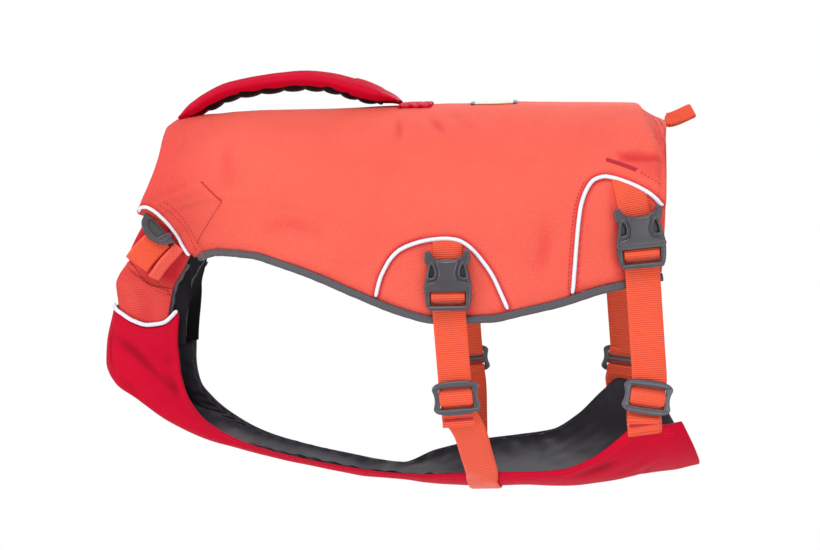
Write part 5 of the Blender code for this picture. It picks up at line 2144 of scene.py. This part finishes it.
    def lay(self, node: str, path: Array, wide: Array, out: Array | None, side: Side, steps: int) -> None:
        """Make webbing through coarse steps, smoothed between them.

        Args:
            node: The solid that it stands for.
            path: Middle of the webbing on the left side.
            wide: Directions of its width.
            out: Rough directions of its face, if they matter.
            side: The side of the jacket.
            steps: Number of steps between two points.
        """
        fine = catmull(path, steps)
        width = catmull(wide, steps)
        along = directions(fine)
        width = unit(width - along * (along * width).sum(1, keepdims=True))
        face = np.cross(along, width)
        if out is not None:
            hint = catmull(out, steps)
            face = face * np.sign((face * hint).sum(1, keepdims=True))
        self.strap(node, fine, width, face, side, self.wide - 0.4 * MM)

    def anchor_steps(self, side: Side, slider: Frame) -> list[Frame]:
        """Course of the anchor webbing, with the way its width lies and the way it faces.

        Args:
            side: The side of the jacket.
            slider: Middle, across and down of the slider.

        Returns:
            Middle, width and face of each step.
        """
        place, across, down = slider
        back = -(self.plate / 2 + GAP * 3 + self.thick * 1.5)
        path = [place + down * (b * MM) + AWAY * back for b in self.leaves_slider]
        hints: list[Array | None] = [None] * len(path)
        for fall in self.plan.falls[side]:
            path.append(np.array(fall) * MM)
            hints.append(AWAY)
        for x, v in self.plan.hugs[side]:
            low, high = 0.3, 1.0
            for _ in range(30):
                u = 0.5 * (low + high)
                low, high = (u, high) if self.sling.form.point(u, v)[0] < x * MM else (low, u)
            normal = self.sling.form.facing(np.array(u), np.array(v))
            point, normal = self.sling.skin.nearest(self.sling.form.point(u, v) + normal * 3 * MM)
            path.append(point + normal * (GAP * 2 + self.thick / 2))
            hints.append(normal)
        steps = []
        for point, along, hint in zip(path, directions(np.array(path)), hints):
            wide = across if hint is None else np.cross(hint, along)
            wide = unit(wide - along * float(wide @ along))
            wide = -wide if wide[0] < 0 else wide
            face = unit(np.cross(along, wide))
            steps.append((point, wide, -face if face[1] > 0 else face))
        return steps

    def build_anchor(self, label: str, side: Side, slider: Frame) -> None:
        """Webbing folded over the slider's lower bar and carried down to the sling.

        Args:
            label: The strap and its side, as in the names of its pieces.
            side: The side of the jacket.
            slider: Middle, across and down of the slider.
        """
        steps = self.anchor_steps(side, slider)
        step = self.thick + GAP
        head, head_wide, head_face = steps[0]
        fold = [(head + slider[2] * (share * self.plan.fold * MM)
                 + head_face * (step + share ** 2 * self.fold_bulge),
                 head_wide, head_face) for share in (0.0, 0.25, 0.5, 0.75, 1.0)]
        if self.plan.name == "rear":
            run = lengths(np.array([point for point, _, _ in steps]))
            fold = [(point + face * step, wide, face) for (point, wide, face), far in zip(steps, run)
                    if far <= self.plan.fold * MM]
        frames = fold[::-1]
        for degrees in (45, 90, 135):
            a = math.radians(degrees)
            turn = head_face * math.cos(a) - slider[2] * math.sin(a)
            frames.append((head + (head_face + turn) * (step / 2), head_wide, turn))
        frames += [(point, wide, -face) for point, wide, face in steps]
        path, wide, out = (np.array([frame_[k] for frame_ in frames]) for k in range(3))
        self.lay(f"web_anchor_{label}", path, wide, out, side, 5)
        end, end_wide, face = fold[-1]
        end = end + unit(fold[-2][0] - end) * self.tack_in + face * (self.thick / 2 + 0.25 * MM)
        line = end + end_wide * (np.array([-self.tack_half, 0.0, self.tack_half])[:, None] * MM)
        self.stitching.tack("tack", mirrored(line, side), mirrored(np.repeat(face[None], 3, 0), side), 2.4 * MM)


# ---------------------------------------------------------------- neck closure
@dataclass
class NeckClosure:
    """Neck tongue with its lining, flap and binding, the ladder lock and its webbing."""

    wardrobe: Wardrobe
    form: TongueForm
    sling: Sling
    stitching: Stitching
    wall: float = 1.8 * MM
    lining: float = 1.2 * MM
    flap: float = 1.2 * MM
    edge: float = 3.4 * MM
    lock_outline: tuple[Place, ...] = (
        (-13.6, 0), (13.6, 0), (13.8, 3), (11.2, 7.4), (5.6, 10.7), (-0.6, 12), (-7, 10.9), (-12, 7.6),
        (-14.0, 3.6))
    lock_well: tuple[Place, ...] = ((-9.8, 1.4), (9.8, 1.4), (8.4, 4.6), (4.2, 6.6), (-0.6, 7.4),
                                    (-5.6, 6.6), (-9.0, 4.6))
    lock_post: tuple[Place, ...] = ((7.2, -1.2), (11.6, -1.2), (10.0, 7.6), (6.2, 9.4), (4.4, 8.2))
    shadowed_area: tuple[Place, ...] = ((-240, -98), (-205, -84), (-194, -112), (-206, -138), (-224, -136))
    flap_rows: tuple[tuple[Place, ...], ...] = (
        ((-238.1, -126.7), (-228.1, -136.9), (-219.3, -145.5), (-210.5, -149.2)),
        ((-241.0, -124.2), (-230.3, -133.1), (-220.4, -141.6), (-211.0, -144.8)))
    lock_seat: Place = (-213.4, -90.6)
    lock_lean: float = 42.7
    web_course: tuple[Place, ...] = ((-215.0, -100.5), (-219.0, -105.3), (-223.0, -110.0),
                                     (-227.0, -114.8), (-232.6, -121.4))
    web_return: tuple[Place, ...] = ((-203.0, -76.0), (-206.5, -80.5), (-210.0, -85.0), (-213.0, -89.0))
    return_wide: float = 18.0 * MM
    roll_course: tuple[Place, ...] = ((-202.2, -107.8), (-208.0, -115.4), (-214.4, -123.0), (-221.4, -131.8))

    def face(self, u: Array, v: Array, lift: float | Array = 0.0) -> tuple[Array, Array]:
        """Points of the left tongue moved out by a lift, and their directions.

        Args:
            u: Shares down the form.
            v: Shares across it.
            lift: Height over the bare tongue.

        Returns:
            Points and directions.
        """
        held = np.minimum(v, 1.0)
        normal = self.form.facing(u, held)
        one = np.ones_like(u)
        past = (self.form.point(u, one) - self.form.point(u, one * 0.94)) / 0.06 * (v - held)[..., None]
        return self.form.point(u, held) + past + normal * np.asarray(lift)[..., None], normal

    def build(self, side: Side) -> None:
        """Make one side's closure.

        Args:
            side: The side of the jacket.
        """
        u, v = np.broadcast_arrays(np.linspace(0, 1, 110)[:, None], np.linspace(0, 1, 44)[None, :])
        swell = waves(self.form.point(u, v), 41 + side.value, 0.5, (40, 22))
        self.cloth(f"neck_tongue_{side.tag}", u, v, swell, self.wall, self.wardrobe.orange, side, "orange_shell")
        wide = 1.0 + 0.31 * smooth((u - 0.12) / 0.35) + 0.22 * smooth((u - 0.38) / 0.36)
        self.cloth(f"neck_tongue_lining_{side.tag}", u, v * wide, swell * 0.3 - (self.wall + GAP),
                   self.lining, self.wardrobe.shadowed_lining, side, "grey_lining")
        top = 0.43 + 0.13 * smooth(v / 0.7)
        self.cloth(f"neck_flap_{side.tag}", top + (0.95 - top) * u, v, swell + self.flap + 2.4 * GAP, self.flap,
                   self.wardrobe.orange, side, "orange_shell")
        face, normal = self.face(u, v, swell)
        skin = Skin(face, normal)
        for course in self.flap_rows:
            path, out = skin.course(Look.LEFT, course)
            path = path + out * (self.flap + 2.6 * GAP)
            self.stitching.sew("orange", mirrored(path, side), mirrored(out, side))
        self.build_binding(side)
        self.build_lock(side, skin)
        self.build_pocket(side)

    def cloth(self, node: str, u: Array, v: Array, lift: Array, wall: float, material: Material,
              side: Side, slot: str) -> None:
        """Make one layer of the tongue.

        Args:
            node: The solid that it stands for.
            u: Shares down the form.
            v: Shares across it.
            lift: Height over the bare tongue.
            wall: Thickness.
            material: Its material.
            side: The side of the jacket.
            slot: Its slot.
        """
        face, normal = self.face(u, v, lift)
        face, normal = mirrored(face, side), mirrored(normal, side)
        down = np.cumsum(np.linalg.norm(np.diff(face, axis=0), axis=-1), 0).mean(1)
        plan = face.reshape(-1, 3)[:, [0, 2]]
        # Painted shadow over the tongue and flap, deeper round the ladder lock and the rolled tab.
        shadow_mask = inside(plan, np.array(self.shadowed_area) * MM, 5 * MM).reshape(u.shape)
        painted_shade = 0.52 + 0.40 * shadow_mask + waves(face, 77, 0.12, (30, 17)) / MM
        cloth = laid_out(face, np.concatenate([[0.0], down])[:, None], v * 48 * MM, painted_shade)
        piece = sheet_of(face, normal, wall, cloth).piece(node + "_cloth", [material, material], [node], slot)

    def build_binding(self, side: Side) -> None:
        """Charcoal binding down the tongue's rear edge, waved by its gathers.

        Args:
            side: The side of the jacket.
        """
        layers = self.wall + GAP + self.lining
        u = np.linspace(0.25, 0.93, 90)
        one = np.ones_like(u)
        normal = self.form.facing(u, one * 0.98)
        rear = unit(self.form.point(u, one) - self.form.point(u, one * 0.96))
        middle = self.form.point(u, one) - normal * (layers / 2) + rear * (GAP * 2.4 + self.edge / 2)
        run = lengths(middle)
        wave = 0.5 * MM * np.sin(run * (TURN / (11 * MM)))
        middle = middle + rear * wave[:, None] * 0.6 + normal * wave[:, None] * 0.5
        turn = round_angles(14)
        loops = (middle[:, None] + rear[:, None] * (np.cos(turn) * self.edge / 2)[None, :, None]
                 + normal[:, None] * (np.sin(turn) * 2.2 * MM)[None, :, None])
        loops = mirrored(loops, side)
        node = f"neck_binding_{side.tag}"
        fabric = swept(loops, laid_out(loops, run[:, None], turn * 2 * MM))
        fabric.piece(node + "_tape", [self.wardrobe.binding], [node], "grey_lining")

    def build_lock(self, side: Side, skin: Skin) -> None:
        """Ladder lock with its webbing fold and the rolled end of the tongue's tab.

        Args:
            side: The side of the jacket.
            skin: The tongue's face on the left side.
        """
        for node, course, wide, thick, lift, material, slot in (
                ("neck_web", self.web_course, 21.0 * MM, 1.7 * MM, GAP * 2, self.wardrobe.neck_web,
                 "webbing"),
                ("neck_roll", self.roll_course, 9.8 * MM, 4.0 * MM, GAP * 2.7, self.wardrobe.orange,
                 "orange_shell")):
            path, out = skin.course(Look.LEFT, course)
            path = path + out * (lift + thick / 2)
            along = directions(path)
            across = unit(np.cross(along, out))
            facing = np.cross(across, along)
            facing = facing * np.sign((facing * out).sum(1, keepdims=True))
            fabric = band(path, across, facing, side, wide, thick)
            if node == "neck_web":
                path, out = skin.course(Look.LEFT, self.web_return)
                path = path + out * (GAP * 2 + thick / 2)
                across = unit(np.cross(directions(path), out))
                fabric.merge(band(path, across, out, side, self.return_wide, thick))
            fabric.piece(f"{node}_{side.tag}_strap", [material], [f"{node}_{side.tag}"], slot)
        point, normal = skin.seat(Look.LEFT, self.lock_seat[0] * MM, self.lock_seat[1] * MM)
        middle = point + normal * (GAP * 3 + 3.4 * MM)
        a = math.radians(self.lock_lean)
        across = np.array([math.cos(a), 0.0, -math.sin(a)])
        down = np.array([-math.sin(a), 0.0, -math.cos(a)])
        across = unit(across - normal * float(across @ normal))
        down = unit(down - normal * float(down @ normal) - across * float(down @ across))
        outline = tuple((1.1 * a, 1.08 * b) for a, b in softened(self.lock_outline, 3))
        bodies = [Moulding((outline, softened(self.lock_well, 3)), 3.4, 0.9, 0.2),
                  Moulding((outline,), 1.2, 0.3, -1.1),
                  Moulding((softened(self.lock_post, 2),), 3.8, 1.0, 0.6)]
        moulded(f"neck_lock_{side.tag}", bodies, (middle + down * 2.0 * MM, across, down), side,
                self.wardrobe.buckle)

    def build_pocket(self, side: Side) -> None:
        """White piping round the chest pocket's mouth.

        Args:
            side: The side of the jacket.
        """
        radius = 1.7 * MM
        v = -np.linspace(0.25, 0.985, 60)
        u = np.full(v.shape, -(radius + GAP * 4.2) / self.sling.form.long)
        zero = np.zeros_like(v)
        path = self.sling.form.point(u, v) + self.sling.form.facing(zero, v) * GAP
        node = f"piping_pocket_{side.tag}"
        tube(mirrored(path, side), radius, 14).piece(node + "_cord", [self.wardrobe.piping], [node], "piping")


# ---------------------------------------------------------------- handle, tail loop, label
@dataclass
class GrabHandle:
    """Grab handle: red cover folded over grey padding, sewn down by a red strip."""

    wardrobe: Wardrobe
    panel: BackPanel
    stitching: Stitching
    skin_wall: float = 1.6 * MM
    strip_wall: float = 2.2 * MM
    stations: tuple[tuple[float, float, float, float], ...] = (
        (-206.5, 0.4, 13.6, 3.4), (-203, 3.2, 13.4, 4.8), (-199, 6.0, 13, 6.0), (-194.5, 8.8, 12.5, 6.8),
        (-184.5, 14.8, 12.5, 7.2), (-166, 23, 12.8, 7.4), (-139.5, 28, 13, 7.6), (-113.5, 30.7, 13, 7.8),
        (-100.7, 31.2, 13, 7.9), (-88, 30.3, 13.2, 7.9), (-75, 28.2, 13.3, 8), (-62.5, 24.6, 13.6, 8.2),
        (-50, 21, 14, 8.2), (-38, 17.5, 14.3, 6.8), (-27, 14.9, 14.6, 4.4), (-19, 11.9, 15, 1.6))

    def sections(self, steps: int) -> tuple[Array, Array, Array, Array]:
        """Centre line, up directions, half widths and half heights along the handle.

        Args:
            steps: Number of sections.

        Returns:
            One row for each section.
        """
        table = catmull(np.array(self.stations) * MM, steps)
        centre = np.stack([table[:, 0], np.zeros(len(table)), table[:, 1]], 1)
        along = directions(centre)
        up = np.stack([-along[:, 2], np.zeros(len(table)), along[:, 0]], 1)
        return centre, up, table[:, 2], table[:, 3]

    def build(self) -> None:
        """Make the cover, the padding and the strip."""
        self.build_cover()
        self.build_padding()
        self.build_strip()

    def build_cover(self) -> None:
        """Arched cover, open below."""
        centre, up, wide, high = self.sections(14)
        run = lengths(centre)
        angle = np.radians(np.linspace(-48, 228, 53))
        rng = np.random.default_rng(61)
        phase = rng.uniform(0, 6.28, 4)
        fold = sum(np.sin(run * (TURN / (size * MM)) + p) for size, p in zip((43, 27, 61, 19), phase))
        ease = 0.35 * MM * fold[:, None] / 2 * np.abs(np.cos(angle))[None, :]
        collar = smooth((centre[:, 0] / MM + 60.0) / 2.0) - smooth((centre[:, 0] / MM + 36.0) / 2.0)
        shape = (1.0 + 0.07 * np.cos(angle * 4.0))[None, :] * (1.0 + 0.09 * collar)[:, None]
        across = np.cos(angle)[None, :] * wide[:, None] * shape
        rise = np.sin(angle)[None, :] * high[:, None] * shape
        face = centre[:, None] + up[:, None] * rise[..., None]
        face = face + SIDEWAYS * across[..., None]
        spoke = unit(up[:, None] * np.sin(angle)[None, :, None]
                     + SIDEWAYS * np.cos(angle)[None, :, None])
        face = face + spoke * ease[..., None]
        wall = np.minimum(self.skin_wall, high * 0.8)[:, None]
        piece = sheet_of(face, spoke, wall, laid_out(face, run[:, None], angle * 10 * MM)).piece(
            "handle_cover_cloth", [self.wardrobe.red, self.wardrobe.red], ["handle_cover"], "red_shell")

    def build_padding(self) -> None:
        """Padded grey strip inside the cover, gathered below it."""
        centre, up, wide, high = (part[52:-24] for part in self.sections(14))
        run = lengths(centre)
        angle = round_angles(28)
        skin = np.minimum(self.skin_wall, high * 0.8) + GAP * 1.5
        top = np.maximum(high - skin, 0.3 * MM)
        low = high * 1.02 + 0.3 * MM
        bump = np.abs(np.sin(run * (math.pi / (17.5 * MM)) + 0.5 * np.sin(run * 50))) ** 0.6
        low = low * (0.80 + 0.26 * bump)
        tall = np.where(np.sin(angle)[None, :] > 0, top[:, None], low[:, None])
        loops = centre[:, None] + up[:, None] * (np.sin(angle)[None, :] * tall)[..., None]
        side = np.cos(angle)[None, :] * (wide - skin)[:, None]
        loops = loops + SIDEWAYS * side[..., None]
        piece = swept(loops, laid_out(loops, run[:, None], angle * 10 * MM)).piece(
            "handle_padding_cloth", [self.wardrobe.shadowed_lining], ["handle_padding"], "grey_lining")

    def build_strip(self) -> None:
        """Folded strip that sews the handle's rear end down."""
        def pucker(along: Array, across: Array) -> Array:
            """Height of the gathers and of the two tacked furrows.

            Args:
                along: Metres along the strip.
                across: Metres from its middle.

            Returns:
                Height at each place.
            """
            edge = smooth((np.abs(across) - 6 * MM) / (9 * MM))
            return (0.7 * np.sin(along * (TURN / (8.2 * MM))) * edge
                    - 0.5 * np.exp(-((along - 4 * MM) / (1.5 * MM)) ** 2)
                    - 0.5 * np.exp(-((along - 20 * MM) / (1.5 * MM)) ** 2)) * MM

        _, face = top_patch(self.panel, "handle_strip", (-19.0, 7.0), 18.5, self.strip_wall,
                            [self.wardrobe.red, self.wardrobe.red], "red_shell", 50, 60, pucker)
        for row in (8, 39):
            line = face[row, 4:-4]
            out = unit(line - np.array([line[:, 0].mean(), 0.0, line[:, 2].mean() - 60 * MM]))
            self.stitching.tack("tack", line, out, 2.6 * MM, 0.8 * MM)


def top_patch(panel: BackPanel, node: str, ends: Place, half: float, wall: float,
              materials: Sequence[Material], slot: str, columns: int, lines: int,
              pucker: Callable[[Array, Array], Array] | None = None) -> tuple[Piece, Array]:
    """Cloth piece lying over the spine between two stations in millimetres.

    Args:
        panel: The panel under it.
        node: The solid that it stands for.
        ends: Stations of its two ends.
        half: Half its width in millimetres.
        wall: Thickness.
        materials: Its outer and inner material.
        slot: Its slot.
        columns: Faces across.
        lines: Faces along.
        pucker: Height over the face from metres along and across.

    Returns:
        The piece and the points of its face.
    """
    x = np.linspace(ends[0], ends[1], columns) * MM
    y = np.linspace(-half, half, lines) * MM
    face = np.zeros((columns, lines, 3))
    normal = np.zeros((columns, lines, 3))
    for i, a in enumerate(x):
        for j, b in enumerate(y):
            point, out = panel.skin.seat(Look.TOP, float(a), float(b))
            face[i, j] = point + out * (GAP + wall)
            normal[i, j] = out
    cloth = laid_out(face, (x - x[0])[:, None], y)
    if pucker is not None:
        face = face + normal * pucker(cloth[..., 0], cloth[..., 1])[..., None]
    piece = sheet_of(face, normal, wall, cloth).piece(node + "_cloth", materials, [node], slot)
    return piece, face


@dataclass
class TailLoop:
    """Webbing loop behind the tail edge on the spine: two layers joined by a round fold."""

    wardrobe: Wardrobe
    wide: float = 11.6 * MM
    thick: float = 1.5 * MM
    half_gap: float = 1.7 * MM
    course: tuple[tuple[float, float, float], ...] = (
        (195.2, -4.4, 50), (198.2, -5.0, 58), (202.0, -4.2, 64), (207.0, -2.2, 68), (212.5, 0.4, 70),
        (215.2, 1.6, 66))

    def build(self) -> None:
        """Make the loop."""
        table = catmull(np.array(self.course), 6)
        middle = np.stack([table[:, 0], np.zeros(len(table)), table[:, 1]], 1) * MM
        along = directions(middle)
        turn = np.radians(table[:, 2])
        width = np.stack([np.zeros(len(turn)), np.cos(turn), np.sin(turn)], 1)
        width = unit(width - along * (along * width).sum(1, keepdims=True))
        out = np.cross(along, width)
        angle = np.radians(np.linspace(0, 180, 9)[1:-1])[:, None]
        bend = out[-1] * np.cos(angle) + along[-1] * np.sin(angle)
        path = np.concatenate([middle + out * self.half_gap, middle[-1] + bend * self.half_gap,
                               (middle - out * self.half_gap)[::-1]])
        across = np.concatenate([width, np.repeat(width[-1:], len(angle), 0), width[::-1]])
        face = np.concatenate([out, bend, -out[::-1]])
        fabric = band(path, across, face, Side.LEFT, self.wide, self.thick, 12)
        fabric.piece("tail_loop_strap", [self.wardrobe.neck_web], ["tail_loop"], "webbing")


@dataclass
class Studio:
    """Pale floor, soft light and the camera."""

    eye: tuple[float, float, float] = (0.083, -0.788, -0.0815)
    view: tuple[float, float, float] = (-0.11916587, 0.99085463, -0.06329776)
    focal_pixels: float = 946.0
    picture_wide: float = 820.0
    sensor: float = 36.0
    floor_z: float = -0.75
    floor_radius: float = 0.8
    paper: Colour = (0.86, 0.86, 0.86)
    paper_light: Colour = (0.90, 0.90, 0.90)
    glow: float = 0.68
    aim: tuple[float, float, float] = (0.0, 0.0, -0.12)
    lamps: tuple[tuple[str, tuple[float, float, float], float, float], ...] = (
        ("key", (-0.25, -1.2, 1.45), 1.1, 18.0), ("fill", (0.7, -1.5, -0.5), 1.0, 8.0),
        ("chest", (-1.2, -1.1, -0.2), 0.9, 7.0), ("rear", (0.3, 1.4, 1.0), 1.2, 12.0))

    def build(self) -> None:
        """Make the studio."""
        self.build_camera()
        self.build_floor()
        self.build_lights()

    def build_camera(self) -> None:
        """Camera at the place from which the jacket is seen."""
        data = bpy.data.cameras.new("camera")
        data.sensor_fit = "HORIZONTAL"
        data.sensor_width = self.sensor
        data.lens = self.focal_pixels / self.picture_wide * self.sensor
        data.clip_start = 0.01
        camera = bpy.data.objects.new("camera", data)
        camera.location = self.eye
        camera.rotation_mode = "QUATERNION"
        camera.rotation_quaternion = Vector(self.view).to_track_quat("-Z", "Y")
        bpy.context.scene.collection.objects.link(camera)
        bpy.context.scene.camera = camera

    def build_floor(self) -> None:
        """Round pale floor, well below the jacket."""
        turn = round_angles(96)
        rim = np.stack([np.cos(turn), np.sin(turn), np.zeros(96)], 1) * self.floor_radius
        mesh = bpy.data.meshes.new("floor")
        mesh.from_pydata((rim + (0, 0, self.floor_z)).tolist(), [], [tuple(range(96))])
        shade = Shade("floor_paper")
        cloudy = shade.noise(3.0, 2.0)
        tone = shade.mix((cloudy * 0.2 + 0.5).held(), self.paper, self.paper_light)
        mesh.materials.append(shade.feed(Base_Color=tone, Roughness=0.9))
        floor = bpy.data.objects.new("floor", mesh)
        bpy.context.scene.collection.objects.link(floor)

    def build_lights(self) -> None:
        """White surroundings, a broad light above and in front, and a weak one from each side."""
        scene = bpy.context.scene
        scene.view_settings.view_transform = "Standard"
        world = bpy.data.worlds.new("studio")
        scene.world = world
        world.use_nodes = True
        tree = world.node_tree
        back = tree.nodes["Background"]
        back.inputs["Color"].default_value = (1.0, 1.0, 1.0, 1.0)
        path = tree.nodes.new("ShaderNodeLightPath")
        strength = tree.nodes.new("ShaderNodeMapRange")
        tree.links.new(path.outputs["Is Camera Ray"], strength.inputs["Value"])
        strength.inputs["To Min"].default_value = self.glow
        strength.inputs["To Max"].default_value = 1.0
        tree.links.new(strength.outputs["Result"], back.inputs["Strength"])
        for name, place, wide, power in self.lamps:
            data = bpy.data.lights.new(name, "AREA")
            data.shape = "DISK"
            data.size = wide
            data.energy = power
            light = bpy.data.objects.new(name, data)
            light.location = place
            light.rotation_mode = "QUATERNION"
            light.rotation_quaternion = (Vector(self.aim) - Vector(place)).to_track_quat("-Z", "Y")
            scene.collection.objects.link(light)


SLING_ROWS = (
    ((-262, -171), (-254, -176.5), (-241, -181), (-228, -182.5), (-216, -180), (-210, -175.5)),
    ((-263.5, -178.4), (-266.2, -191.2), (-266.3, -204.0), (-262.5, -216.5)))
PANEL_ROWS = (
    ((115.4, -136.3), (116.5, -107.0), (119.8, -74.2), (127.1, -56.0)),
    ((-26.2, -141.1), (-23.1, -123.9), (-11.1, -105.9), (9.7, -97.0)),
    ((-211.2, -73.5), (-202.0, -79.7), (-193.4, -89.5), (-188.0, -102.0), (-184.0, -112.0)),
    ((-207.0, -70.0), (-198.0, -76.7), (-189.4, -87.5), (-184.0, -100.0), (-180.0, -110.0)),
    PATCH_LOW,
    TAIL_SEAM,
    ((182.5, -3.0), (184.5, -13.8), (186.2, -30.1), (186.3, -45.2), (184.9, -56.2)),
    ((187.5, -5.0), (189.9, -15.8), (190.4, -30.1), (188.9, -45.2), (186.9, -58.2)))
STRAP_TACK = ((142.9, -40.8), (153.1, -44.3), (163.6, -48.5))


def sew_all(panel: BackPanel, sling: Sling, stitching: Stitching) -> None:
    """Topstitching of the panel and the sling.

    Args:
        panel: The dressed panel.
        sling: The dressed sling.
        stitching: Takes the rows.
    """
    u = np.linspace(0.16, 0.985, 330)
    for side in Side:
        look = Look.of(side)
        for places in SLING_ROWS:
            stitching.sew("red", *sling.skin.course(look, places))
        v = np.full(u.shape, side.value * 0.945)
        facing = sling.form.facing(u, v)
        near_edge = sling.form.point(u, v) + facing * 2 * MM
        stitching.sew("red", *parted(sling.skin.nearest(place) for place in near_edge))
        for places in PANEL_ROWS:
            path, out = panel.skin.course(look, places)
            near = path[:, 1] * path[0, 1] > 0
            stitching.sew("orange", path[near], out[near])
        path, out = panel.skin.course(look, STRAP_TACK)
        stitching.tack("tack", path + out * 0.25 * MM, out, 3.6 * MM, 0.55 * MM)
        path, out = panel.skin.course(look, PATCH_REAR)
        stitching.tack("tack", path + out * 0.1 * MM, out, 1.7 * MM, 1.3 * MM)


LABEL_ENDS = (39.5, 76.5)
LABEL_HALF = 12.0
LABEL_WALL = 0.9 * MM
LABEL_GRID = (30, 20)


def main() -> None:
    """Build the jacket piece by piece."""
    logging.basicConfig(level=logging.INFO, format="%(name)s: %(message)s")
    wardrobe = Wardrobe()
    stitching = Stitching()
    Studio().build()
    back_form, sling_form = BackForm(), SlingForm()
    panel = BackPanel(wardrobe, back_form)
    LOG.info("back panel: %s", panel.build().name)
    sling = Sling(wardrobe, sling_form)
    LOG.info("sling: %s", sling.build().name)
    closure = NeckClosure(wardrobe, TongueForm(back_form, sling_form), sling, stitching)
    pairs = (HemBinding(wardrobe, panel), Piping(wardrobe, panel), closure,
             *(BellyStrap(wardrobe, plan, panel, sling, stitching) for plan in STRAP_PLANS))
    for side in Side:
        for maker in pairs:
            maker.build(side)
            LOG.info("%s: %s side", type(maker).__name__, side.tag)
    for maker in (GrabHandle(wardrobe, panel, stitching), TailLoop(wardrobe)):
        maker.build()
        LOG.info("%s: on the spine", type(maker).__name__)
    label, _ = top_patch(panel, "spine_label", LABEL_ENDS, LABEL_HALF, LABEL_WALL,
                         [wardrobe.label, wardrobe.label], "label", *LABEL_GRID)
    LOG.info("label: %s", label.name)
    sew_all(panel, sling, stitching)
    stitching.build({
        "orange": (wardrobe.orange_thread, "orange_shell"),
        "red": (wardrobe.red_thread, "red_shell"),
        "tack": (wardrobe.tack_thread, "red_shell"),
    })
    LOG.info("stitching: %d rows of thread", len(stitching.rows))


if __name__ == "__main__":
    main()
